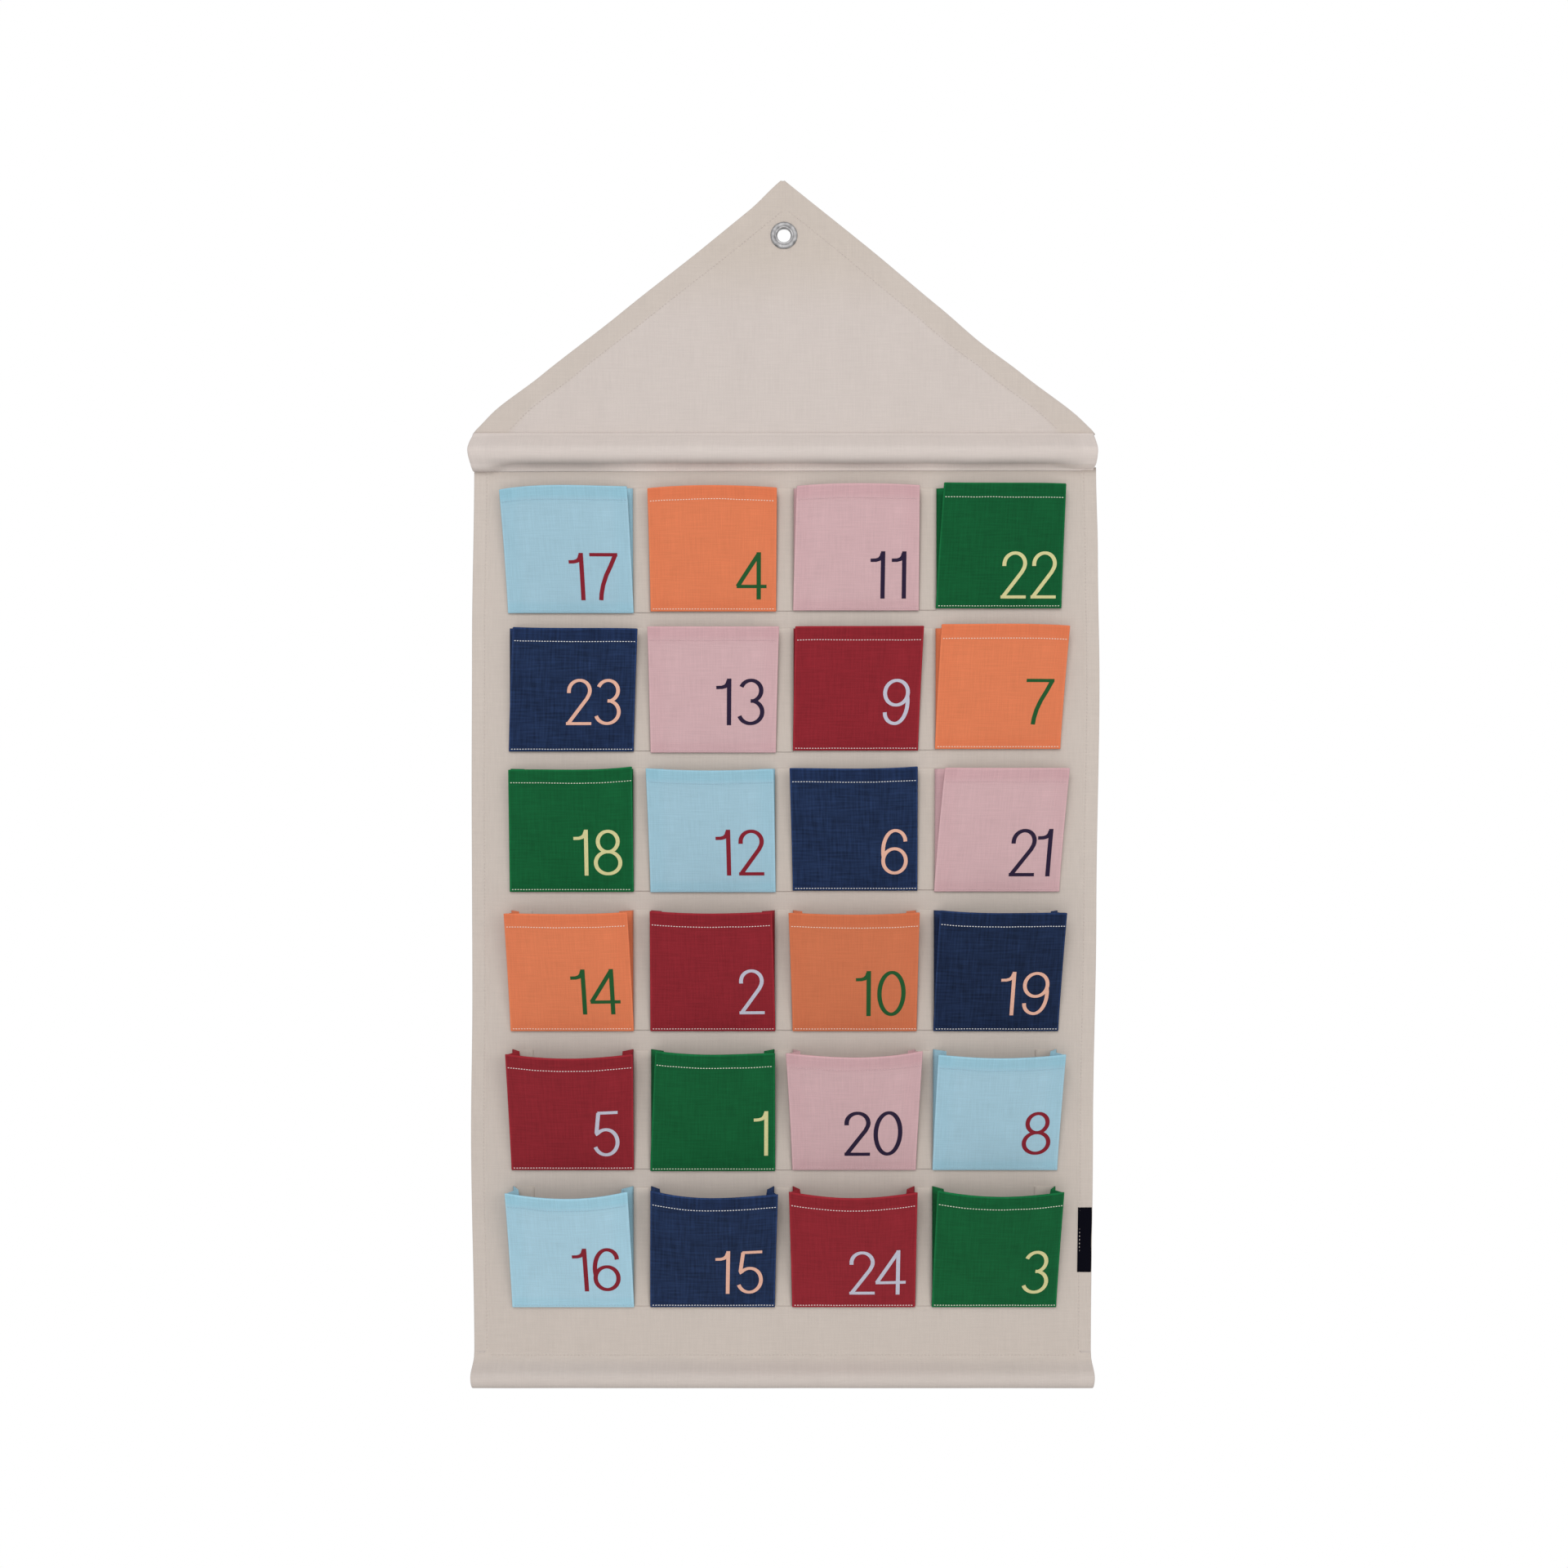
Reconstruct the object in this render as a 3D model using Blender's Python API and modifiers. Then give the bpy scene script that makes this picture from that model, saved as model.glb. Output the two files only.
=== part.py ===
"""A hanging cloth advent calendar with 24 numbered pockets.

A triangular gable hangs from an eyelet. Below it a cloth panel hangs between two wooden
rods, each in a sewn casing. Six strips of pockets are sewn on the panel, four to a row.
Metres, +Z up, the front faces -Y, and the origin is the eyelet's centre on the wall's plane.
"""

import math

import bmesh
import bpy
from mathutils import Matrix, Vector

# Cloth and sewing
CANVAS = 0.0010  # the gable and the panel
CASING_CLOTH = 0.0008
POCKET_CLOTH = 0.0006
LAYER_GAP = 0.0003  # between layers that lie on each other
HEM_WIDTH = 0.011  # the folded edges down the panel's sides
HEM_CLOTH = 0.0006  # how much a folded edge or a strip's patch adds to the panel

# Gable
EYELET_BELOW_APEX = 0.0451
GABLE_HEIGHT = 0.2090  # apex to fold line
GABLE_CORNER_REACH = 0.0001  # each lower corner beyond the casing's end
APEX_HALF_WIDTH = 0.0020
GABLE_FOLD_COUNT = 5  # soft folds that spread from the eyelet
GABLE_FOLD_DEPTH = 0.0035
GABLE_SEAM_GAP = 0.0004  # the gable's lower edge to the top casing
EYELET_FLAT = 0.0220  # the gable lies flat this far below the eyelet

# Eyelet
EYELET_HOLE_RADIUS = 0.0057
EYELET_FLANGE_RADIUS = 0.0112
EYELET_FLANGE_HEIGHT = 0.0013
EYELET_METAL = 0.0005
EYELET_LIP = 0.0012  # how far the barrel's end is flared behind the washer
WASHER_RADIUS = 0.0110
WASHER_THICKNESS = 0.0006
EYELET_STANDOFF = 0.0010  # the washer's back face to the wall

# Rods and their casings
ROD_RADIUS = 0.0070
ROD_CLEARANCE = 0.0003
BOTTOM_CASING_SHORTFALL = 0.0005  # less than the panel's width there
CASING_END_BULGE = 0.0025
TOP_CASING_HEIGHT = 0.0300
BOTTOM_CASING_HEIGHT = 0.0270
ROD_END_INSET = 0.0040  # each rod's end inside its casing's mouth
TOP_ROD_DROP = 0.0178  # fold line to the top rod's axis
NECK_LENGTH = 0.0025  # the sewn edge beyond a casing's tunnel
TUNNEL_CORNER = 0.0012  # the seam allowance between a tunnel and its neck

# Panel
PANEL_TOP_WIDTH = 0.5170
PANEL_NARROWING = 0.0055  # from its top to its bottom
PANEL_SHIFT = 0.0010  # its top's middle, to the right of the eyelet
PANEL_HEIGHT = 0.7330  # between the two casings

# Pockets
POCKET_GAP = 0.0155  # the natural cloth between two pockets of a strip
SIDE_MARGIN = 0.02925  # the outer pockets to the panel's side edges, at its top
FIRST_ROW_MARGIN = 0.0147  # the top casing to the first row's mouths
LAST_ROW_MARGIN = 0.0388  # the last row's lower seam to the bottom casing
STRIP_SHORTFALL = 0.0010  # how much lower a strip's patches end than its pockets
PLEAT_DEPTH = 0.0130
FOOT_HEM_HEIGHT = 0.0070  # the cloth turned under at a pocket's foot
LEAN_CURVE = 1.35  # over 1, a pocket opens more towards its mouth
SIDE_CURVE = 1.2

# Side label
LABEL_WIDTH = 0.0125
LABEL_HEIGHT = 0.0530
LABEL_THICKNESS = 0.0008
LABEL_OVERHANG = 0.0012  # beyond the panel's edge
LABEL_RISE = 0.0923  # from the panel's lower edge to the label's middle

# Each row: how much shorter its fronts are than the step to the next row, how far the
# mouth's sides and its middle stand out, and how far sewing by hand moved the row's foot.
ROWS = (
    (0.0111, 0.0070, 0.0120, 0.0000),
    (0.0133, 0.0080, 0.0130, 0.0011),
    (0.0136, 0.0080, 0.0130, 0.0000),
    (0.0146, 0.0170, 0.0240, -0.0014),
    (0.0146, 0.0180, 0.0260, -0.0016),
    (0.0146, 0.0200, 0.0280, -0.0002),
)

# Each pocket: its number, its cloth, and how far its mouth's left and right corners lean
# to the right of its foot.
POCKETS = (
    (17, "light_blue", -0.0063, -0.0028),
    (4, "orange", -0.0022, 0.0007),
    (11, "pink", 0.0006, -0.0019),
    (22, "green", 0.0061, 0.0030),
    (23, "navy", 0.0026, 0.0040),
    (13, "pink", -0.0021, 0.0027),
    (9, "red", 0.0006, 0.0034),
    (7, "orange", 0.0047, 0.0068),
    (18, "green", -0.0001, -0.0007),
    (12, "light_blue", -0.0034, -0.0033),
    (6, "navy", -0.0027, -0.0019),
    (21, "pink", 0.0081, 0.0075),
    (14, "orange", -0.0014, -0.0033),
    (2, "red", 0.0006, -0.0026),
    (10, "orange", -0.0034, 0.0014),
    (19, "navy", 0.0039, 0.0048),
    (5, "red", -0.0026, 0.0008),
    (1, "green", 0.0053, 0.0001),
    (20, "pink", -0.0054, 0.0013),
    (8, "light_blue", 0.0032, 0.0046),
    (16, "light_blue", -0.0030, -0.0017),
    (15, "navy", 0.0015, 0.0028),
    (24, "red", -0.0028, 0.0006),
    (3, "green", 0.0030, 0.0037),
)
COLUMNS = 4

# Linear colour, roughness and metallic value of each material
FINISHES = {
    "natural_canvas": ((0.63, 0.54, 0.50), 0.90, 0.0),
    "light_blue": ((0.35, 0.53, 0.62), 0.90, 0.0),
    "orange": ((0.72, 0.21, 0.10), 0.90, 0.0),
    "pink": ((0.60, 0.39, 0.42), 0.90, 0.0),
    "green": ((0.010, 0.105, 0.036), 0.90, 0.0),
    "navy": ((0.016, 0.030, 0.080), 0.90, 0.0),
    "red": ((0.24, 0.024, 0.033), 0.90, 0.0),
    "black_ribbon": ((0.006, 0.006, 0.012), 0.70, 0.0),
    "wood": ((0.55, 0.35, 0.18), 0.55, 0.0),
    "chrome": ((0.80, 0.80, 0.81), 0.18, 1.0),
}

# Places that follow from the sizes above. A depth is how far something stands out of the
# wall, so its y is the depth with a minus sign.
PANEL_LEFT = PANEL_SHIFT - PANEL_TOP_WIDTH / 2
PANEL_BOTTOM_WIDTH = PANEL_TOP_WIDTH - PANEL_NARROWING
TOP_CASING_LENGTH = PANEL_TOP_WIDTH
BOTTOM_CASING_LENGTH = PANEL_BOTTOM_WIDTH - BOTTOM_CASING_SHORTFALL
GABLE_HALF_WIDTH = TOP_CASING_LENGTH / 2 + GABLE_CORNER_REACH
APEX_Z = EYELET_BELOW_APEX
FOLD_Z = APEX_Z - GABLE_HEIGHT
NECK_THICKNESS = 2 * CASING_CLOTH
FOLD_DEPTH = NECK_THICKNESS / 2
TOP_CASING_BOTTOM = FOLD_Z - TOP_CASING_HEIGHT
PANEL_TOP = TOP_CASING_BOTTOM - LAYER_GAP
PANEL_BOTTOM = PANEL_TOP - PANEL_HEIGHT
BOTTOM_CASING_TOP = PANEL_BOTTOM - LAYER_GAP
FIRST_SHORTER = ROWS[0][0]
ROW_PITCH = (PANEL_HEIGHT - FIRST_ROW_MARGIN - LAST_ROW_MARGIN + FIRST_SHORTER) / len(ROWS)
FIRST_FOOT_Z = PANEL_TOP - FIRST_ROW_MARGIN - (ROW_PITCH - FIRST_SHORTER)
POCKET_WIDTH = (PANEL_TOP_WIDTH - 2 * SIDE_MARGIN - (COLUMNS - 1) * POCKET_GAP) / COLUMNS
COLUMN_PITCH = POCKET_WIDTH + POCKET_GAP
TUNNEL_RADIUS = ROD_RADIUS + ROD_CLEARANCE
LOOP_RADIUS = TUNNEL_RADIUS + CASING_CLOTH
ROD_DEPTH = LOOP_RADIUS
TOP_ROD_Z = FOLD_Z - TOP_ROD_DROP
BOTTOM_ROD_Z = BOTTOM_CASING_TOP - BOTTOM_CASING_HEIGHT + LOOP_RADIUS
WASHER_FRONT = EYELET_STANDOFF + WASHER_THICKNESS
EYELET_CLOTH_DEPTH = WASHER_FRONT + LAYER_GAP + CANVAS / 2
FLANGE_BACK = EYELET_CLOTH_DEPTH + CANVAS / 2 + LAYER_GAP
BARREL_RADIUS = EYELET_HOLE_RADIUS + EYELET_METAL
LAYER_STEP = POCKET_CLOTH + LAYER_GAP
PLEAT_BACK_DEPTH = CANVAS + LAYER_GAP + POCKET_CLOTH / 2
PLEAT_FRONT_DEPTH = PLEAT_BACK_DEPTH + LAYER_STEP
FRONT_DEPTH = PLEAT_FRONT_DEPTH + LAYER_STEP

# How finely the shapes are cut
GABLE_CELLS = (20, 12)
POCKET_STEPS = 4  # up a pocket, the same for its front and its pleats
FRONT_COLUMNS = 6
PLEAT_CORNERS = 4
CASING_ARC_STEPS = 12
NECK_ARC_STEPS = 4
EYELET_STEPS = 32
ROD_SIDES = 24
OVERLAP = 0.0005  # how deep pieces that a Boolean joins reach into each other
INSET = 0.0002  # keeps joined faces from lying in one plane


def clear_scene():
    for item in list(bpy.data.objects):
        bpy.data.objects.remove(item)


def new_collection(name):
    collection = bpy.data.collections.new(name)
    bpy.context.scene.collection.children.link(collection)
    return collection


def make_materials():
    materials = {}
    for name, (colour, roughness, metallic) in FINISHES.items():
        material = bpy.data.materials.new(name)
        material.use_nodes = True
        shader = material.node_tree.nodes["Principled BSDF"]
        shader.inputs["Base Color"].default_value = (*colour, 1)
        shader.inputs["Roughness"].default_value = roughness
        shader.inputs["Metallic"].default_value = metallic
        material.diffuse_color = (*colour, 1)
        materials[name] = material
    return materials


def add_mesh(name, bm, collection, material=None, origin=(0, 0, 0), parent=None):
    """Makes an object of a bmesh that is in world coordinates, with its origin where asked."""
    bmesh.ops.translate(bm, verts=bm.verts, vec=-Vector(origin))
    mesh = bpy.data.meshes.new(name)
    bm.to_mesh(mesh)
    bm.free()
    item = bpy.data.objects.new(name, mesh)
    collection.objects.link(item)
    if material:
        mesh.materials.append(material)
    item.location = origin
    if parent:
        item.parent = parent
        item.location = Vector(origin) - parent.location
    return item


def grid(columns, rows, place):
    """A bmesh sheet whose points are place(u, v), with u from -1 to 1 and v from 0 to 1."""
    bm = bmesh.new()
    bmesh.ops.create_grid(bm, x_segments=columns, y_segments=rows, size=1)
    for vert in bm.verts:
        vert.co = place(vert.co.x, (vert.co.y + 1) / 2)
    return bm


def box(low, high):
    bm = bmesh.new()
    size = Vector(high) - Vector(low)
    middle = (Vector(high) + Vector(low)) / 2
    bmesh.ops.create_cube(bm, size=1, matrix=Matrix.Translation(middle) @ Matrix.Diagonal((*size, 1)))
    return bm


def thicken(item, thickness):
    solidify = item.modifiers.new("Cloth thickness", "SOLIDIFY")
    solidify.thickness = thickness
    solidify.offset = 0
    solidify.use_even_offset = True


def combine(item, other, operation):
    """Joins a helper to an item, or cuts it out, and hides the helper."""
    boolean = item.modifiers.new(other.name, "BOOLEAN")
    boolean.operation = operation
    boolean.solver = "EXACT"
    boolean.object = other
    other.hide_render = True
    other.display_type = "WIRE"


def empty(name, location, collection, parent=None):
    marker = bpy.data.objects.new(name, None)
    collection.objects.link(marker)
    marker.location = location
    if parent:
        marker.parent = parent
        marker.location = Vector(location) - parent.location
    return marker


# Gable


def gable_point(u, v):
    """The gable's middle surface: flat at the seam, with soft folds that spread from the eyelet."""
    low = FOLD_Z + FOLD_DEPTH + GABLE_SEAM_GAP
    z = low + (APEX_Z - low) * v
    rise = (z - FOLD_Z) / GABLE_HEIGHT
    half_width = APEX_HALF_WIDTH + (GABLE_HALF_WIDTH - APEX_HALF_WIDTH) * (1 - rise)
    x = u * half_width
    below_eyelet = min(1.0, max(0.0, (-z - EYELET_FLAT) / (-FOLD_Z - EYELET_FLAT)))
    swell = math.sin(math.pi * below_eyelet)
    wave = 0.5 - 0.5 * math.cos(math.pi * GABLE_FOLD_COUNT * (u + 1))
    depth = FOLD_DEPTH + (EYELET_CLOTH_DEPTH - FOLD_DEPTH) * (1 - below_eyelet)
    return x, -(depth + GABLE_FOLD_DEPTH * swell * wave), z


def make_gable(parts, helpers, materials, parent):
    sheet = grid(*GABLE_CELLS, gable_point)
    cloth = add_mesh("gable_cloth", sheet, parts, materials["natural_canvas"], parent=parent)
    thicken(cloth, CANVAS)
    punch = bmesh.new()
    bmesh.ops.create_cone(
        punch,
        cap_ends=True,
        segments=EYELET_STEPS,
        radius1=BARREL_RADIUS + LAYER_GAP,
        radius2=BARREL_RADIUS + LAYER_GAP,
        depth=20 * CANVAS,
        matrix=Matrix.Rotation(math.pi / 2, 4, "X"),
    )
    combine(cloth, add_mesh("eyelet_punch", punch, helpers), "DIFFERENCE")


# Eyelet


def turned_ring(name, profile, parts, material, parent):
    """A ring turned about Y from a closed profile of (radius, depth) points."""
    bm = bmesh.new()
    verts = [bm.verts.new((radius, 0, depth)) for radius, depth in profile]
    for first, second in zip(verts, verts[1:] + verts[:1]):
        bm.edges.new((first, second))
    ring = add_mesh(name, bm, parts, material, parent=parent)
    ring.rotation_euler = (math.pi / 2, 0, 0)
    screw = ring.modifiers.new("Turning", "SCREW")
    screw.axis = "Z"
    screw.angle = 2 * math.pi
    screw.steps = EYELET_STEPS
    screw.render_steps = EYELET_STEPS
    screw.use_merge_vertices = True
    screw.merge_threshold = 0.00001
    screw.use_smooth_shade = True


def make_eyelet(parts, materials, parent):
    crown = FLANGE_BACK + EYELET_FLANGE_HEIGHT
    roll = (EYELET_HOLE_RADIUS + EYELET_FLANGE_RADIUS) / 2
    lip_radius = BARREL_RADIUS + EYELET_LIP
    front = (
        (roll, crown),
        (roll + 0.6 * (EYELET_FLANGE_RADIUS - roll), crown - 0.25 * EYELET_FLANGE_HEIGHT),
        (EYELET_FLANGE_RADIUS, FLANGE_BACK + 0.5 * EYELET_METAL),
        (EYELET_FLANGE_RADIUS - 0.5 * EYELET_METAL, FLANGE_BACK),
        (BARREL_RADIUS, FLANGE_BACK),
        (BARREL_RADIUS, 1.4 * EYELET_METAL),
        (lip_radius, EYELET_METAL),
        (lip_radius, 0),
        (BARREL_RADIUS, 0),
        (EYELET_HOLE_RADIUS, 0.8 * EYELET_METAL),
        (EYELET_HOLE_RADIUS, FLANGE_BACK),
        (EYELET_HOLE_RADIUS + 0.3 * (roll - EYELET_HOLE_RADIUS), crown - 0.25 * EYELET_FLANGE_HEIGHT),
    )
    bore = BARREL_RADIUS + LAYER_GAP
    bevel = 0.25 * WASHER_THICKNESS
    washer = (
        (WASHER_RADIUS - bevel, WASHER_FRONT),
        (WASHER_RADIUS, WASHER_FRONT - bevel),
        (WASHER_RADIUS, EYELET_STANDOFF),
        (bore, EYELET_STANDOFF),
        (bore, WASHER_FRONT),
    )
    turned_ring("eyelet_front", front, parts, materials["chrome"], parent)
    turned_ring("eyelet_washer", washer, parts, materials["chrome"], parent)


# Casings and rods


def tangent_angle(point, centre, radius, side):
    """The angle on a circle where a line from a point outside it touches it, on one side."""
    across = point[0] - centre[0]
    up = point[1] - centre[1]
    return math.atan2(up, across) + side * math.acos(radius / math.hypot(across, up))


def arc(centre, radius, start, end, steps):
    angles = [start + (end - start) * step / steps for step in range(steps + 1)]
    return [(centre[0] + radius * math.cos(a), centre[1] + radius * math.sin(a)) for a in angles]


def top_casing_loops():
    """Outer and inner loops of (depth, z): a flat back, and a front drawn over the rod."""
    centre = (ROD_DEPTH, TOP_ROD_Z)
    loops = []
    for radius, back, front, inset in (
        (LOOP_RADIUS, 0.0, NECK_THICKNESS, NECK_LENGTH),
        (TUNNEL_RADIUS, CASING_CLOTH, CASING_CLOTH, NECK_LENGTH + TUNNEL_CORNER),
    ):
        above = (front, FOLD_Z - inset)
        below = (front, TOP_CASING_BOTTOM + inset)
        start = tangent_angle(above, centre, radius, -1)
        end = tangent_angle(below, centre, radius, 1)
        wrap = [above, *arc(centre, radius, start, end, CASING_ARC_STEPS), below]
        if back == front:
            loops.append(wrap)
        else:
            tip = arc((FOLD_DEPTH, FOLD_Z), FOLD_DEPTH, math.pi, 0, NECK_ARC_STEPS)
            loops.append([(back, TOP_CASING_BOTTOM), *tip, *wrap, (front, TOP_CASING_BOTTOM)])
    return loops


def bottom_casing_loops():
    """As the top casing, but the cloth turns under the rod and up its back."""
    centre = (ROD_DEPTH, BOTTOM_ROD_Z)
    loops = []
    for radius, front, inset in (
        (LOOP_RADIUS, NECK_THICKNESS, NECK_LENGTH),
        (TUNNEL_RADIUS, CASING_CLOTH, NECK_LENGTH + TUNNEL_CORNER),
    ):
        above = (front, BOTTOM_CASING_TOP - inset)
        start = tangent_angle(above, centre, radius, -1)
        wrap = [above, *arc(centre, radius, start, -math.pi, 2 * CASING_ARC_STEPS)]
        if front == NECK_THICKNESS:
            wrap = [(0.0, BOTTOM_CASING_TOP), (front, BOTTOM_CASING_TOP), *wrap]
        loops.append(wrap)
    return loops


def make_casing(name, loops, length, parts, material, parent):
    """A tunnel of cloth along X: a filled outline with a hole, drawn out to its length."""
    outline = bpy.data.curves.new(name, "CURVE")
    outline.dimensions = "2D"
    outline.fill_mode = "BOTH"
    outline.extrude = length / 2
    for loop in loops:
        spline = outline.splines.new("POLY")
        spline.points.add(len(loop) - 1)
        spline.use_cyclic_u = True
        for point, (depth, z) in zip(spline.points, loop):
            point.co = (depth, z, 0, 1)
    drawn = bpy.data.objects.new(name + "_outline", outline)
    parts.objects.link(drawn)
    bpy.context.view_layer.update()
    mesh = bpy.data.meshes.new_from_object(drawn.evaluated_get(bpy.context.evaluated_depsgraph_get()))
    bpy.data.objects.remove(drawn)
    bm = bmesh.new()
    bm.from_mesh(mesh)
    bpy.data.meshes.remove(mesh)
    bmesh.ops.remove_doubles(bm, verts=bm.verts, dist=0.000001)
    low = min(z for _, z in loops[0])
    high = max(z for _, z in loops[0])
    for vert in bm.verts:
        depth, z, along = vert.co
        bulge = CASING_END_BULGE * math.sin(math.pi * (z - low) / (high - low))
        vert.co = (along + math.copysign(bulge, along), -depth, z)
    bmesh.ops.recalc_face_normals(bm, faces=bm.faces)
    if bm.calc_volume(signed=True) < 0:
        bmesh.ops.reverse_faces(bm, faces=bm.faces)
    add_mesh(name, bm, parts, material, parent=parent)


def make_rod(name, z, casing_length, parts, material, parent):
    bm = bmesh.new()
    bmesh.ops.create_cone(
        bm,
        cap_ends=True,
        segments=ROD_SIDES,
        radius1=ROD_RADIUS,
        radius2=ROD_RADIUS,
        depth=casing_length - 2 * ROD_END_INSET,
        matrix=Matrix.Translation((0, -ROD_DEPTH, z)) @ Matrix.Rotation(math.pi / 2, 4, "Y"),
    )
    rod = add_mesh(name, bm, parts, material, (0, -ROD_DEPTH, z), parent)
    rod.data.shade_smooth()
    rod.data.set_sharp_from_angle(angle=math.radians(30))


# Panel


def panel_width(z):
    """The panel narrows a little from its top to its bottom, and its left edge hangs straight."""
    share = (PANEL_TOP - z) / PANEL_HEIGHT
    return PANEL_TOP_WIDTH + (PANEL_BOTTOM_WIDTH - PANEL_TOP_WIDTH) * share


def pocket_layout():
    """Every pocket with its place on the panel, row by row from the top."""
    layout = []
    for index, (number, colour, lean_left, lean_right) in enumerate(POCKETS):
        row, column = divmod(index, COLUMNS)
        shorter, side, mouth, ease = ROWS[row]
        foot = FIRST_FOOT_Z - row * ROW_PITCH + ease
        narrowing = panel_width(foot) / PANEL_TOP_WIDTH
        from_left = PANEL_TOP_WIDTH / 2 + (column - (COLUMNS - 1) / 2) * COLUMN_PITCH
        layout.append(
            {
                "number": number,
                "colour": colour,
                "row": row,
                "x": PANEL_LEFT + from_left * narrowing,
                "half_width": POCKET_WIDTH / 2 * narrowing,
                "foot": foot,
                "length": ROW_PITCH - shorter,
                "side": side,
                "mouth": mouth,
                "lean": (lean_left, lean_right),
            }
        )
    return layout


def tapered_slab(left, right, front):
    """A slab down the whole panel. Each side is a share of the panel's width and an offset."""
    bm = box((-1, -front, PANEL_BOTTOM), (1, 0, PANEL_TOP))
    for vert in bm.verts:
        share, offset = left if vert.co.x < 0 else right
        vert.co.x = PANEL_LEFT + share * panel_width(vert.co.z) + offset
    return bm


def make_panel(layout, parts, helpers, materials, parent):
    """The backing with its folded side edges and the natural cloth between the pockets."""
    slab = tapered_slab((0, 0), (1, 0), CANVAS)
    panel = add_mesh("back_panel", slab, parts, materials["natural_canvas"], parent=parent)
    raised = CANVAS + HEM_CLOTH
    middle = (PANEL_TOP + PANEL_BOTTOM) / 2
    for name, left, right in (
        ("left_hem", (0, INSET), (0, HEM_WIDTH)),
        ("right_hem", (1, -HEM_WIDTH), (1, -INSET)),
    ):
        hem = tapered_slab(left, right, raised)
        for vert in hem.verts:
            vert.co.y = min(vert.co.y, -OVERLAP)
            vert.co.z += math.copysign(INSET, middle - vert.co.z)
        combine(panel, add_mesh(name, hem, helpers), "UNION")
    for left, right in zip(layout, layout[1:]):
        if left["row"] != right["row"]:
            continue
        start = left["x"] + left["half_width"] + LAYER_GAP
        end = right["x"] - right["half_width"] - LAYER_GAP
        top = left["foot"] + left["length"] - STRIP_SHORTFALL
        patch = box((start, -raised, left["foot"]), (end, -OVERLAP, top))
        name = f"patch_right_of_{left['number']:02d}"
        combine(panel, add_mesh(name, patch, helpers), "UNION")


# Pockets


def front_point(pocket, u, t):
    """The front's middle surface, with u from -1 to 1 across it and t from 0 to 1 up it."""
    swing = pocket["side"] + (pocket["mouth"] - pocket["side"]) * (1 - u * u)
    left, right = pocket["lean"]
    lean = (left * (1 - u) + right * (1 + u)) / 2
    x = pocket["x"] + u * pocket["half_width"] + lean * t**SIDE_CURVE
    z = pocket["foot"] + t * math.sqrt(pocket["length"] ** 2 - swing**2)
    return x, -(FRONT_DEPTH + swing * t**LEAN_CURVE), z


def pleat_point(pocket, side, corner, t):
    """A side fold's middle surface: from the seam in to the fold, and out to the front's edge."""
    edge_x, edge_y, edge_z = front_point(pocket, side, t)
    seam_x = pocket["x"] + side * pocket["half_width"]
    seam_z = pocket["foot"] + t * (pocket["length"] - STRIP_SHORTFALL)
    lip_depth = -edge_y - LAYER_STEP
    middle = (PLEAT_BACK_DEPTH + lip_depth) / 2
    spread = (lip_depth - PLEAT_BACK_DEPTH - LAYER_STEP) / 2
    fold_x = (seam_x + edge_x) / 2 - side * math.sqrt(PLEAT_DEPTH**2 - spread**2)
    fold_z = (seam_z + edge_z) / 2
    return (
        (seam_x, -PLEAT_BACK_DEPTH, seam_z),
        (fold_x, -(middle - LAYER_STEP / 2), fold_z),
        (fold_x, -(middle + LAYER_STEP / 2), fold_z),
        (edge_x, -lip_depth, edge_z),
    )[corner]


def make_front(pocket, parts, materials, parent):
    hinge = (pocket["x"], -FRONT_DEPTH, pocket["foot"])
    name = f"pocket_{pocket['number']:02d}_front"
    bm = grid(FRONT_COLUMNS, POCKET_STEPS, lambda u, t: front_point(pocket, u, t))
    front = add_mesh(name, bm, parts, materials[pocket["colour"]], hinge, parent)
    thicken(front, POCKET_CLOTH)
    front.data.shade_smooth()


def make_pleats(pocket, parts, helpers, materials, parent):
    """Both side folds, joined along the foot by the cloth that is turned under there."""
    name = f"pocket_{pocket['number']:02d}_pleats"
    last = PLEAT_CORNERS - 1
    sheets = {}
    for side in (-1, 1):
        sheets[side] = grid(
            last,
            POCKET_STEPS,
            lambda u, t, side=side: pleat_point(pocket, side, round((u + 1) / 2 * last), t),
        )
    pleats = add_mesh(name, sheets[-1], parts, materials[pocket["colour"]], parent=parent)
    thicken(pleats, POCKET_CLOTH)
    other = add_mesh(name + "_right", sheets[1], helpers)
    thicken(other, POCKET_CLOTH)
    reach = pocket["half_width"] - PLEAT_DEPTH + 4 * POCKET_CLOTH
    inner = PLEAT_BACK_DEPTH - POCKET_CLOTH / 2 + INSET / 2
    outer = PLEAT_FRONT_DEPTH + POCKET_CLOTH / 2 - INSET / 2
    low = (pocket["x"] - reach, -outer, pocket["foot"] + INSET)
    high = (pocket["x"] + reach, -inner, pocket["foot"] + FOOT_HEM_HEIGHT)
    turned_under = add_mesh(name + "_foot", box(low, high), helpers)
    combine(pleats, turned_under, "UNION")
    combine(pleats, other, "UNION")


# Label


def make_label(parts, materials, parent):
    middle = PANEL_BOTTOM + LABEL_RISE
    right = PANEL_LEFT + panel_width(middle) + LABEL_OVERHANG
    back = CANVAS + HEM_CLOTH + LAYER_GAP
    low = (right - LABEL_WIDTH, -(back + LABEL_THICKNESS), middle - LABEL_HEIGHT / 2)
    high = (right, -back, middle + LABEL_HEIGHT / 2)
    label = add_mesh("side_label", box(low, high), parts, materials["black_ribbon"], parent=parent)
    bevel = label.modifiers.new("Soft edge", "BEVEL")
    bevel.width = LABEL_THICKNESS / 4
    bevel.segments = 2


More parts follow.
